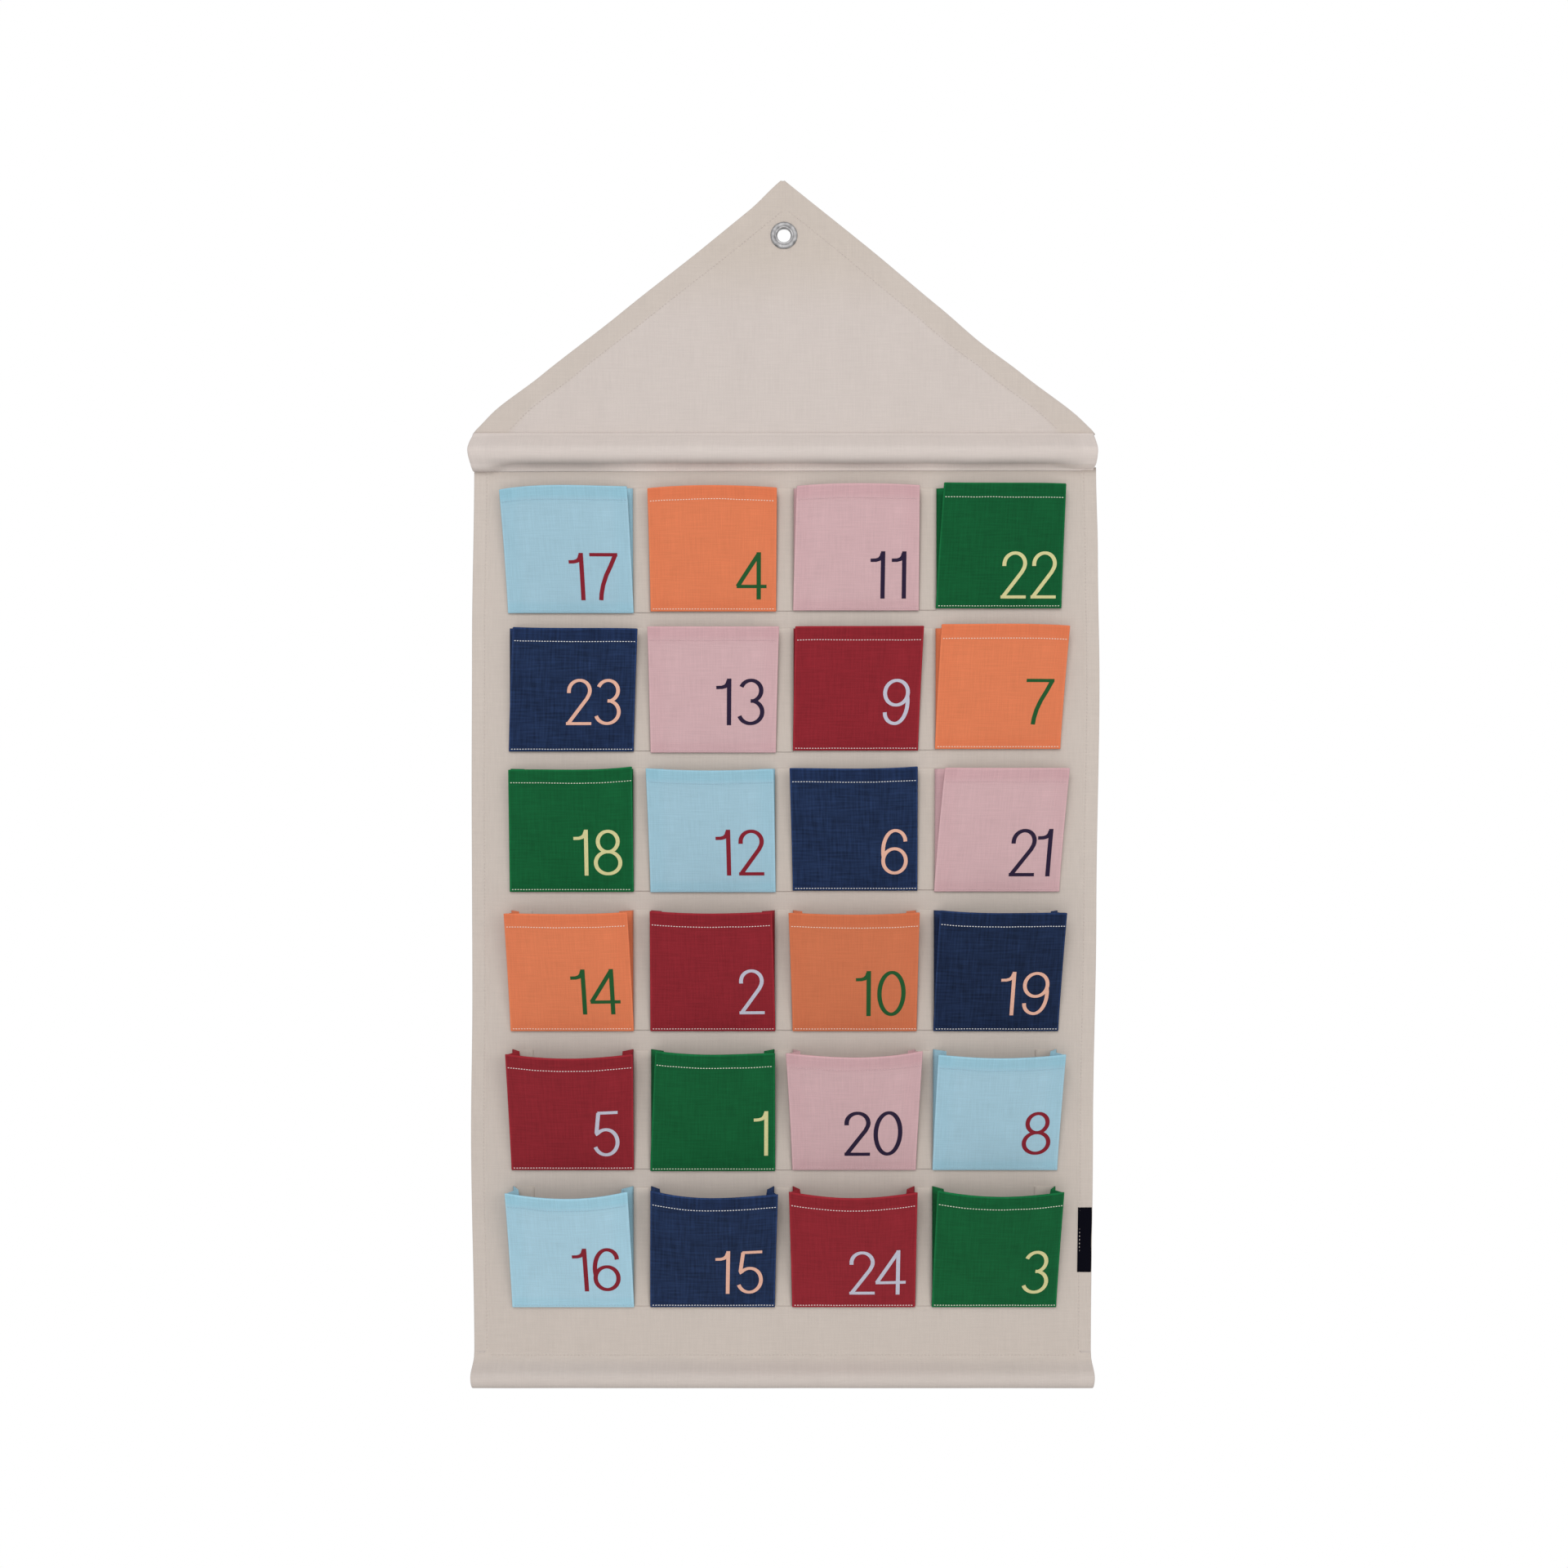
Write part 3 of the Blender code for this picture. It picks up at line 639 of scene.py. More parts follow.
def curve(first, second, third, fourth, steps):
    """Points on a Bezier curve, without its first."""
    found = []
    for i in range(1, steps + 1):
        t = i / steps
        shares = ((1 - t) ** 3, 3 * t * (1 - t) ** 2, 3 * t * t * (1 - t), t**3)
        ends = (first, second, third, fourth)
        found.append(tuple(sum(s * p[k] for s, p in zip(shares, ends)) for k in (0, 1)))
    return found


def lengths_along(path):
    lengths = [0.0]
    for first, second in zip(path, path[1:]):
        lengths.append(lengths[-1] + math.dist(first, second))
    return lengths


WRAP_RADIUS = ROD_RADIUS + 0.0007
centre = (ROD_DEPTH, BOTTOM_ROD_Z)
lower_path = [(0.00045, PANEL_BOTTOM + 0.0012), (0.00045, -0.9330), (0.00045, -0.9395)]
lower_path += arc(centre, WRAP_RADIUS, -math.pi, math.radians(42), 40)
leave = lower_path[-1]
slope = (leave[0] - 0.0040, leave[1] + 0.0044)
lower_path += curve(leave, slope, (0.0009, PANEL_BOTTOM - 0.0085), (0.0007, PANEL_BOTTOM), 10)
lower_lengths = lengths_along(lower_path)
LOWER_LENGTH = lower_lengths[-1]
print("the cloth goes", round(1000 * LOWER_LENGTH), "mm round the lower rod")


# %% Hang the panel
def inward(path, index, behind):
    """The step towards the inside of a path, for a layer folded behind the cloth."""
    first, second = path[max(0, index - 1)], path[min(len(path) - 1, index + 1)]
    length = math.dist(first, second)
    return -(second[1] - first[1]) / length * behind, (second[0] - first[0]) / length * behind


def panel_place(a, b):
    half = PANEL_TOP_WIDTH / 2
    if b < LOWER_LENGTH:
        index = min(range(len(lower_lengths)), key=lambda i: abs(lower_lengths[i] - b))
        depth, z = lower_path[index]
    else:
        index, depth, z = None, 0.0, PANEL_BOTTOM + b - LOWER_LENGTH
    left, right = panel_edges(z)
    past = abs(a) - half
    if index is not None and past > 0:
        past *= 0.0034 / 0.0105 if past > 0.0014 and z < PANEL_BOTTOM - 0.001 else 1
    reach, behind = fold_over(past, 0.00045)
    if past > 0:
        x = left - reach if a < 0 else right + reach
    else:
        x = left + (right - left) * (a + half) / PANEL_TOP_WIDTH
    if index is None:
        return x, -(panel_depth(x, z) - behind), z
    step = inward(lower_path, index, behind)
    front = smooth(0.0008, 0.004, depth)
    share = smooth(LOWER_LENGTH - 0.02, LOWER_LENGTH, b)
    base = depth + (panel_depth(x, z) - 0.0007) * share
    pucker = 0.0003 * front * ripple(x, z, 0.05, 6.0)
    flare = math.sin(math.pi * smooth(0.0, 0.03, PANEL_BOTTOM - z)) * smooth(-0.02, 0, past)
    x += math.copysign(0.0010, a) * flare
    return x, -(base + pucker + step[0]), z + step[1]


def panel_layers(a, b):
    return 0.8 - 0.5 * smooth(LOWER_LENGTH - 0.004, LOWER_LENGTH - 0.012, b)


def panel_crease(a, b):
    hem = smooth(SIDE_HEM + 0.001, SIDE_HEM - 0.001, PANEL_TOP_WIDTH / 2 - abs(a))
    return 0.12 * hem


half = PANEL_TOP_WIDTH / 2
side = positions((half - 0.016, half - 0.008, 0.001), (half - 0.008, half, 0.002))
side += positions((half + 0.0002, half + 0.0014, 0.0003), (half + 0.0014, half + 0.0105, 0.003))
across = mirrored(side, positions((-half + 0.019, half - 0.019, 0.0045)))
top = LOWER_LENGTH + PANEL_TOP - PANEL_BOTTOM + 0.002
up = lower_lengths + positions((LOWER_LENGTH + 0.004, top, 0.006))
panel = hang_sheet(
    "panel_cloth",
    "natural",
    across,
    up,
    panel_place,
    PANEL_CLOTH,
    {"layers": panel_layers, "crease": panel_crease},
)
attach(panel, "panel")
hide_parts("back_panel", "bottom_rod_casing")
print("the panel has", len(panel.data.polygons), "faces")

# %% [markdown]
# ## The strips
# The pockets of a row are sewn into one long strip, with natural cloth between them. Each
# stretch of that cloth lies flat on the panel, with its upper edge turned under.


# %% Lay out the pockets
# How far each column's lowest pocket is drawn to the right, and how much narrower it is made
DRAWN_IN = ((0.0027, 0.0012), (0.0010, 0.0), (0.0007, 0.0006), (-0.0002, 0.0))


def pocket_layout():
    layout = []
    for index, (number, colour, lean, rise) in enumerate(POCKETS):
        row, column = divmod(index, 4)
        length, side, mouth, ease = ROWS[row]
        foot = FIRST_FOOT_Z - row * ROW_PITCH + ease
        narrowing = panel_width(foot) / PANEL_TOP_WIDTH
        from_left = PANEL_TOP_WIDTH / 2 + (column - 1.5) * COLUMN_PITCH
        layout.append(
            {
                "number": number,
                "name": f"pocket_{number:02d}",
                "colour": colour,
                "row": row,
                "column": column,
                "x": PANEL_LEFT + from_left * narrowing + DRAWN_IN[column][0] * row / 5,
                "half": POCKET_WIDTH / 2 * narrowing - DRAWN_IN[column][1] * row / 5,
                "foot": foot + FEET.get(number, 0) / 1000,
                # A foot above its place swings towards the panel, so it starts farther out
                "depth": FRONT_DEPTH + 0.08 * max(0.0, FEET.get(number, 0) / 1000),
                "length": length - FEET.get(number, 0) / 1000,
                "side": side,
                "mouth": mouth,
                "lean": [value / 1000 for value in lean],
                "rise": [value / 1000 for value in rise],
            }
        )
    return layout


LAYOUT = pocket_layout()
# Painted light and shade: pockets made darker or paler all over, for how the light falls on each at
# its angle
POCKET_PAINTED_LIGHT = {10: -0.16, 19: -0.20, 22: -0.08, 8: 0.05, 16: 0.13, 24: 0.04}

# %% Lay the natural cloth between the pockets
STRIP_CLOTH = 0.0005
STRIP_FOLD = 0.0003  # the fold's radius


def strip_hem(height):
    """The stretches of a strip's upper edge, which is turned under."""
    return (height, height + 0.0010, 0.0003), (height + 0.001, height + 0.006, 0.005)


strips = []
for left, right in zip(LAYOUT, LAYOUT[1:]):
    if left["row"] != right["row"]:
        continue
    start = left["x"] + left["half"] + 0.0001
    end = right["x"] - right["half"] - 0.0001
    height = left["length"] - (0.001 if left["row"] < 4 else 0.0026)

    def strip_place(a, b, start=start, foot=left["foot"], height=height):
        reach, behind = fold_over(b - height, STRIP_FOLD)
        x, z = start + a, foot + height + reach
        sewn = 0.0001 * smooth(0.0006, 0, b)
        return x, -(panel_depth(x, z) + 0.0008 - behind * 0.6 - sewn), z

    strip = hang_sheet(
        f"strip_right_of_{left['number']:02d}",
        "natural",
        positions((0, end - start, 0.0037)),
        positions((0, 0.0012, 0.0004), (0.0012, height, 0.006), *strip_hem(height)),
        strip_place,
        STRIP_CLOTH,
        {
            "layers": lambda a, b: 1.0,
            "crease": lambda a, b, height=height: 0.5 * smooth(0.0015, 0.0005, abs(b - height)),
        },
    )
    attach(strip, "panel")
    strips.append(strip)
print(len(strips), "stretches of strip")

# %% [markdown]
# The strip's two ends are turned in behind the outer pockets. A corner of each shows over
# the mouths of the lower rows, which stand well open.


# %% Turn in the strip's ends
END_WIDTH = 0.0170
END_CLOTH = 0.0003
for pocket in LAYOUT:
    if pocket["column"] not in (0, 3):
        continue
    side = -1 if pocket["column"] == 0 else 1
    height = pocket["length"] - 0.0018
    outer = pocket["x"] + side * (pocket["half"] - 0.0004)

    def end_place(a, b, side=side, outer=outer, foot=pocket["foot"], height=height):
        reach, behind = fold_over(b - height, STRIP_FOLD)
        x, z = outer + (a - END_WIDTH if side > 0 else a), foot + height + reach
        return x, -(panel_depth(x, z) + 0.0007 - behind * 0.4), z

    end = hang_sheet(
        f"strip_end_{'left' if side < 0 else 'right'}_of_{pocket['number']:02d}",
        "natural",
        positions((0, END_WIDTH, 0.0034)),
        positions((0.0004, height, 0.0075), *strip_hem(height)),
        end_place,
        END_CLOTH,
        {"layers": lambda a, b: 1.0},
    )
    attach(end, "panel")
    strips.append(end)
print(len(strips), "stretches of strip with the ends")

# %% [markdown]
# ## The pockets
# Each pocket is cut wider than its place and pleated at both sides, so that it can swell.
# Here the front is one sheet, hemmed at its mouth, and rides on the pocket's own body. Each
# side pleat is two layers that meet at the fold inside. The layer at the back is sewn to
# the panel and the one in front to the pocket's edge.


# %% The front's surface
FOOT_FOLD = 0.00035  # the radius of the fold along a foot


def front_surface(pocket, u, t):
    """The middle of the front's cloth, with u from -1 to 1 across and t from 0 to 1 up."""
    swing = pocket["side"] + (pocket["mouth"] - pocket["side"]) * (1 - u * u)
    left, right = pocket["lean"]
    lean = (left * (1 - u) + right * (1 + u)) / 2
    t_in = min(max(t, 0.0), 1.0)
    x = pocket["x"] + u * pocket["half"] + lean * t_in**SIDE_CURVE
    height = math.sqrt(pocket["length"] ** 2 - swing**2)
    seed = pocket["number"] * 1.7
    free = smooth(0.0, 0.35, t_in)
    size = 0.0006 if pocket["row"] < 3 else 0.0009
    wave = ripple(x, pocket["foot"] + t_in * height, 0.045, seed) * (1 - 0.7 * u * u) + 0.5
    low, mid, high = pocket["rise"]
    rise = mid * (1 - u * u) + (low * (1 - u) + high * (1 + u)) / 2 * u * u
    z = pocket["foot"] + t * height + rise * t_in * t_in
    return Vector((x, -(pocket["depth"] + swing * t_in**LEAN_CURVE + size * free * wave), z))


def front_inward(pocket, u, t):
    """The direction from the front's cloth towards the panel."""
    t = min(max(t, 0.02), 0.98)
    u = min(max(u, -0.98), 0.98)
    along = front_surface(pocket, u + 0.02, t) - front_surface(pocket, u - 0.02, t)
    rise = front_surface(pocket, u, t + 0.02) - front_surface(pocket, u, t - 0.02)
    return rise.cross(along).normalized()


def front_place(pocket):
    """Where the flat front's point (a, b) hangs, with its hem, edges and foot turned in."""
    half, length = pocket["half"], pocket["length"]

    def place(a, b):
        over = abs(a) - half
        side_reach, side_behind = fold_over(over, FOLD_STEP / 2)
        u = math.copysign(1 + side_reach / half, a)
        top_reach, top_behind = fold_over(b - length, FOLD_STEP / 2)
        foot_reach, foot_behind = fold_over(-b, FOOT_FOLD)
        t = 1 + top_reach / length if b >= 0 else -foot_reach / length
        inward = front_inward(pocket, u, t)
        behind = side_behind + top_behind * (1 - smooth(-0.001, 0.0, over))
        place = front_surface(pocket, u, t) + inward * behind
        if b < 0:
            place.y += foot_behind
        return place

    return place


def front_crease(pocket):
    half, length = pocket["half"], pocket["length"]

    def crease(a, b):
        near_side = smooth(0.0009, 0.0002, abs(abs(a) - half))
        near_mouth = smooth(0.0008, 0.0002, abs(b - length - 0.0003))
        near_foot = smooth(0.0012, 0.0004, abs(b))
        return max(near_side, near_mouth, 0.3 * near_foot)

    return crease


def front_layers(pocket):
    half, length = pocket["half"], pocket["length"]

    def layers(a, b):
        hem = smooth(length - MOUTH_HEM - 0.0012, length - MOUTH_HEM + 0.0012, b)
        foot = smooth(0.0090, 0.0060, b)
        pleat = smooth(half - PLEAT_DEPTH - 0.003, half - PLEAT_DEPTH + 0.003, abs(a))
        return min(1.0, 0.75 * hem + 0.35 * foot + 0.2 * pleat)

    return layers


# %% Make the fronts
for pocket in LAYOUT:
    half, length = pocket["half"], pocket["length"]
    edge = positions((half - 0.0024, half, 0.0006), (half, half + 0.0014, 0.00028))
    across = mirrored(edge, positions((-half + 0.005, half - 0.005, 0.0035)))
    up = positions(
        (-0.0008, 0, 0.0003),
        (0, 0.002, 0.0006),
        (0.002, length - 0.003, 0.004),
        (length - 0.003, length, 0.001),
        (length, length + 0.0015, 0.0003),
        (length + 0.0015, length + MOUTH_HEM, 0.003),
    )
    front = hang_sheet(
        pocket["name"] + "_cloth",
        pocket["colour"],
        across,
        up,
        front_place(pocket),
        POCKET_CLOTH,
        {
            "crease": front_crease(pocket),
            "layers": front_layers(pocket),
            # painted light and shade over the whole pocket
            "painted_light": lambda a, b, painted_light=POCKET_PAINTED_LIGHT.get(pocket["number"], 0.0): painted_light,
        },
    )
    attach(front, pocket["name"])
    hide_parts(pocket["name"] + "_front")


# %% The side pleats
def pleat_surface(pocket, side, t):
    """The seam on the strip, the fold and the edge of the front, at a height up the pleat."""
    edge = front_surface(pocket, side, t)
    seam = Vector(
        (
            pocket["x"] + side * pocket["half"],
            -(SEAM_DEPTH + 0.0003),
            pocket["foot"] + t * (pocket["length"] - 0.001),
        )
    )
    lip = Vector((edge.x, edge.y + FOLD_STEP, edge.z))
    spread = (seam.y - lip.y - FOLD_STEP) / 2
    fold = (seam + lip) / 2
    # The fold stands between the two, and drops much less than the lip does
    fold.z = seam.z + (lip.z - seam.z) / 8
    fold.x -= side * math.sqrt(PLEAT_DEPTH**2 - spread**2)
    return seam, fold, lip


def make_pleat(pocket, side, front_layer):
    length = pocket["length"]

    def place(a, b):
        seam, fold, lip = pleat_surface(pocket, side, min(max(b / length, 0.0), 1.0))
        start = lip if front_layer else seam
        depth = -FOLD_STEP / 2 if front_layer else FOLD_STEP / 2
        end = fold + Vector((0, depth, 0))
        share = a / PLEAT_DEPTH
        point = start.lerp(end, min(1.0, share))
        if share > 1:
            turn = (share - 1) * PLEAT_DEPTH / (FOLD_STEP / 2)
            point.x -= side * FOLD_STEP / 2 * math.sin(turn)
            point.y -= depth * (1 - math.cos(turn))
        swell = math.sin(math.pi * min(1.0, share)) * smooth(0.1, 0.8, b / length)
        point.y += (0.0002 if front_layer else -0.0002) * swell
        return point

    words = "left" if side < 0 else "right", "front" if front_layer else "back"
    pleat = hang_sheet(
        f"{pocket['name']}_{words[0]}_{words[1]}_pleat",
        pocket["colour"],
        positions((0, PLEAT_DEPTH, 0.0026), (PLEAT_DEPTH, PLEAT_DEPTH + 0.0007, 0.00024)),
        positions((0.0004, length, 0.0065)),
        place,
        POCKET_CLOTH,
        {
            "layers": lambda a, b: 0.7,
            "crease": lambda a, b: smooth(length - 0.0012, length, b),
        },
    )
    seam, fold, lip = pleat_surface(pocket, side, 0.9)
    low_seam, low_fold, low_lip = pleat_surface(pocket, side, 0.3)
    sewn, low = (lip, low_lip) if front_layer else (seam, low_seam)
    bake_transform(pleat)
    return pleat


# %% Make the pleats
pleats = []
for pocket in LAYOUT:
    made = [make_pleat(pocket, side, layer) for side in (-1, 1) for layer in (True, False)]
    for pleat in made:
        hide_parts(pocket["name"] + "_pleats")
    pleats += made
print(len(pleats), "pleat layers")


# %% [markdown]
# ## The pockets' seams
# The mouth's hem is sewn 10 mm down, and the foot is sewn close to its edge. A stitch lies
# on the cloth's outer side, so its path follows the front's surface.


# %% A point on a front
def on_front(pocket, u, t, lift=0.00042):
    """A point that is lifted off the middle of the front's cloth."""
    return front_surface(pocket, u, t) - front_inward(pocket, u, t) * lift


# %% Sew the pockets
MOUTH_SEAM = 0.0107  # below the mouth
FOOT_SEAM = 0.0014  # above the foot
SEAM_SHARES = [-0.985 + 1.97 * i / 60 for i in range(61)]  # from side to side
for pocket in LAYOUT:
    seed = pocket["number"] * 0.37
    hem = 1 - MOUTH_SEAM / pocket["length"]
    wander = [0.0035 * noise.noise(Vector((u * 2.3, seed, 0))) for u in SEAM_SHARES]
    path = [on_front(pocket, u, hem + w) for u, w in zip(SEAM_SHARES, wander)]
    seam = sew(pocket["name"] + "_mouth_seam", pocket["colour"], path, seed=seed)
    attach(seam, pocket["name"])
    path = [on_front(pocket, u, FOOT_SEAM / pocket["length"], 0.00032) for u in SEAM_SHARES]
    seam = sew(pocket["name"] + "_foot_seam", pocket["colour"], path, seed=seed + 9)
    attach(seam, pocket["name"])
print("sewed", 2 * len(LAYOUT), "pocket seams")

# %% [markdown]
# ## The numerals
# The numbers are printed in a thin, narrow sans style, 40 mm tall. Each digit is a few
# strokes, written here as centre lines in a box 59 units tall, and a stroke is a flat ribbon
# that lies on the cloth. Upright strokes are a little wider than level ones.


# %% Strokes of the ten digits
def bow(cx, cy, rx, ry, start, end):
    """Points on part of an oval, from one angle to another in degrees."""
    count = max(6, round(abs(end - start) / 9))
    angles = [math.radians(start + (end - start) * i / count) for i in range(count + 1)]
    return [(cx + rx * math.cos(a), cy + ry * math.sin(a)) for a in angles]


# Each digit's width and its strokes
DIGITS = {
    "0": (34, [bow(17, 29.5, 14.6, 27.3, 90, 450)]),
    "1": (
        18,
        [
            [(0, 47.8), (6.5, 48.0), (10.6, 49.2), (13.4, 52.0), (14.9, 56.5)],
            [(15.4, 59), (15.4, 0)],
        ],
    ),
    "2": (
        31.5,
        [
            [(3.2, 40.8)]
            + bow(16, 43.6, 12.8, 13.3, 180, -22)
            + [(25.4, 33.5), (5.2, 5.0), (3.6, 2.6)],
            [(0.5, 2.1), (31.5, 2.1)],
        ],
    ),
    "3": (33, [bow(15.8, 43.6, 12.3, 13.2, 158, -90), bow(15.6, 16.6, 14.2, 14.4, 90, -160)]),
    "4": (37, [[(27.4, 57), (1.6, 16.2)], [(0.4, 16.2), (37, 16.2)], [(27.4, 59), (27.4, 0)]]),
    "5": (
        32,
        [
            [(6, 56.8), (30, 56.8)],
            [(7, 57), (4.2, 31)],
            [(4.2, 31)] + bow(15.4, 18.6, 14.0, 16.4, 142, -158),
        ],
    ),
    "6": (
        33,
        [
            bow(16.4, 17.8, 13.9, 15.6, 90, 450),
            [(29.7, 42.6)]
            + bow(17.2, 42.4, 12.6, 14.4, 16, 90)
            + bow(17.2, 30, 14.8, 26.8, 90, 196),
        ],
    ),
    "7": (
        34,
        [
            [(0, 56.8), (34, 56.8)],
            [(31.8, 57.5), (25.3, 43), (19.2, 31), (14.8, 19), (12.4, 8), (11.6, 0)],
        ],
    ),
    "8": (35, [bow(17.5, 43.6, 12.2, 13.2, 90, 450), bow(17.5, 16.4, 15.0, 14.2, 90, 450)]),
    "9": (
        33,
        [
            bow(16.6, 41.2, 13.9, 15.6, 90, 450),
            [(3.3, 16.4)]
            + bow(15.8, 16.6, 12.6, 14.4, 196, 270)
            + bow(15.8, 29, 14.8, 26.8, 270, 376),
        ],
    ),
}
# The inks, by the cloth that they are printed on
PRINT_COLOURS = {
    "light_blue": (0.21, 0.009, 0.021),
    "orange": (0.010, 0.080, 0.020),
    "pink": (0.014, 0.006, 0.028),
    "green": (0.62, 0.59, 0.29),
    "navy": (0.74, 0.42, 0.32),
    "red": (0.50, 0.50, 0.60),
}


# %% Draw a number on its pocket
DIGIT_UNITS = 59  # the height in which the strokes are written
DIGIT_HEIGHT = 0.0398
UNIT = DIGIT_HEIGHT / DIGIT_UNITS
INK = 0.0001  # how thick the ink lies
LEVEL_STROKE, UPRIGHT_EXTRA = 4.2, 1.1  # a stroke's width, in units
INK_SPREAD = {"navy": 0.86, "red": 0.89, "green": 0.91}  # pale ink on dark cloth spreads less


def dense(points, step):
    """The same line, with points at most a step apart."""
    found = [points[0]]
    for (ax, ay), (bx, by) in zip(points, points[1:]):
        count = max(1, math.ceil(math.hypot(bx - ax, by - ay) / step))
        shares = [i / count for i in range(1, count + 1)]
        found += [(ax + (bx - ax) * s, ay + (by - ay) * s) for s in shares]
    return found


def ribbon(points, carry, weight):
    """A flat ribbon along the points, from a grid whose rows are carried onto the cloth."""
    points = dense(points, 3.0)
    closed = math.dist(points[0], points[-1]) < 0.01
    rows = []
    for i, (x, y) in enumerate(points):
        before = points[i - 1] if i else points[-2] if closed else points[0]
        after = points[i + 1] if i + 1 < len(points) else points[1] if closed else points[-1]
        dx, dy = after[0] - before[0], after[1] - before[1]
        size = math.hypot(dx, dy)
        dx, dy = dx / size, dy / size
        half = weight * (LEVEL_STROKE + UPRIGHT_EXTRA * abs(dy)) / 2
        rows.append((carry(x - dy * half, y + dx * half), carry(x + dy * half, y - dx * half)))
    stroke, spots = grid_of(2, len(rows))
    for vert, (side, row) in zip(stroke.data.vertices, spots):
        vert.co = rows[row][side]
    return stroke


# %% The printing inks
def print_finish(name, colour):
    """Fabric ink: matt, with the weave showing through."""
    finish, tree, shader = new_finish(name, Roughness=0.8, Specular_IOR_Level=0.3)
    turn = node(tree, "ShaderNodeMapping", Rotation=(math.radians(-90), 0, 0))
    link(tree, node(tree, "ShaderNodeTexCoord").outputs["Object"], turn.inputs["Vector"])
    weave = weave_height(tree, turn.outputs[0], COTTON_THREAD)
    blotch = stretched_noise(tree, turn.outputs[0], 500, 500, 3.0)
    tone = calculate(tree, "MULTIPLY_ADD", weave, 0.3, 0.8)
    tone = calculate(tree, "MULTIPLY", tone, calculate(tree, "MULTIPLY_ADD", blotch, 0.24, 0.88))
    tint(tree, shader, colour, tone)
    emboss(tree, shader, weave, 0.35, 0.0002)
    return finish


PRINTS = {name: print_finish(f"print_on_{name}", c) for name, c in PRINT_COLOURS.items()}

# %% Where each number stands
# Each number's left, right, top and foot in the camera's picture, in pixels
NUMBER_BOXES = {
    17: (696, 756, 676, 735),
    4: (901, 938, 675, 734),
    11: (1066, 1110, 674, 733),
    22: (1225, 1294, 674, 733),
    23: (693, 760, 830, 888),
    13: (877, 936, 830, 888),
    9: (1081, 1114, 830, 888),
    7: (1257, 1291, 830, 887),
    18: (702, 762, 1015, 1072),
    12: (876, 936, 1015, 1072),
    6: (1079, 1112, 1014, 1071),
    21: (1235, 1290, 1014, 1073),
    14: (698, 760, 1186, 1242),
    2: (905, 937, 1186, 1242),
    10: (1048, 1109, 1188, 1244),
    19: (1226, 1285, 1189, 1243),
    5: (727, 760, 1360, 1416),
    1: (923, 941, 1360, 1415),
    20: (1034, 1105, 1360, 1415),
    8: (1251, 1286, 1361, 1414),
    16: (700, 760, 1528, 1581),
    15: (876, 934, 1531, 1584),
    24: (1040, 1109, 1531, 1585),
    3: (1251, 1283, 1531, 1584),
}
PICTURE_MIDDLE = PICTURE_WIDTH / 2


def picture_scale(point):
    """How many pixels of the picture a metre takes at a point."""
    return FOCAL_LENGTH / SENSOR_WIDTH * PICTURE_WIDTH / (point.y + CAMERA_DISTANCE)


def on_pocket(pocket, pixel_x, pixel_y):
    """The u and t of the point of the front that the camera sees at a pixel."""
    u, t = 0.5, 0.3
    for _ in range(8):
        point = front_surface(pocket, u, t)
        miss_x = (pixel_x - PICTURE_MIDDLE) / picture_scale(point) - point.x
        miss_z = CAMERA_HEIGHT - (pixel_y - PICTURE_MIDDLE) / picture_scale(point) - point.z
        u += miss_x / pocket["half"]
        t += miss_z / pocket["length"]
    return u, t


def side_pixels(strokes):
    """The leftmost and rightmost pixel that some strokes reach in the picture."""
    points = [vert.co for stroke in strokes for vert in stroke.data.vertices]
    seen = [PICTURE_MIDDLE + point.x * picture_scale(point) for point in points]
    return min(seen), max(seen)


def draw_digit(pocket, digit, u0, low, unit):
    """The strokes of a digit whose left foot is at u0 and low, a unit tall for each of its 59."""
    strokes = []
    for level, points in enumerate(DIGITS[digit][1]):

        def carry(x, y, level=level):
            u = u0 + x * UNIT / pocket["half"]
            lift = POCKET_CLOTH / 2 + 0.00008 + 0.00002 * level
            return on_front(pocket, u, low + y * unit, lift)

        strokes.append(ribbon(points, carry, INK_SPREAD.get(pocket["colour"], 1)))
    return strokes


for pocket in LAYOUT:
    left, right, top, foot = NUMBER_BOXES[pocket["number"]]
    digits = str(pocket["number"])
    starts = [left] if len(digits) == 1 else [left, right - DIGITS[digits[1]][0]]
    strokes = []
    for place, (digit, start) in enumerate(zip(digits, starts)):
        low = on_pocket(pocket, start, foot)[1]
        unit = (on_pocket(pocket, start, top + 1)[1] - low) / DIGIT_UNITS
        u0 = on_pocket(pocket, start, (top + foot) / 2)[0]
        made = draw_digit(pocket, digit, u0, low, unit)
        reached = side_pixels(made)
        # The slant of the cloth carries a digit to one side, so it is moved back by that much
        miss = right - reached[1] if place else left - reached[0]
        for stroke in made:
            bpy.data.objects.remove(stroke)
        u0 += miss / picture_scale(front_surface(pocket, u0, 0.3)) / pocket["half"]
        strokes += draw_digit(pocket, digit, u0, low, unit)
    select_only(*strokes)
    if len(strokes) > 1:
        bpy.ops.object.join()
    numeral = strokes[0]
    numeral.name = pocket["name"] + "_numeral"
    thicken(numeral, INK)
    numeral.data.materials.append(PRINTS[pocket["colour"]])
    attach(numeral, pocket["name"])
print("printed", len(NUMBER_BOXES), "numbers")

# %% [markdown]
# ## The upper rod's casing
# The casing is a strip of canvas folded over at the gable's seam. Its back lies on the wall
# side, and its front goes round the rod and comes back to the panel in a slack curve, where
# it is sewn. Its open ends are hemmed, so they swell a little past the panel's edges.


# %% The casing's path
CASING_CLOTH = 0.0006
LIP_DEPTH = 0.0014


def between_points(first, second, share):
    return tuple(p + (q - p) * share for p, q in zip(first, second))


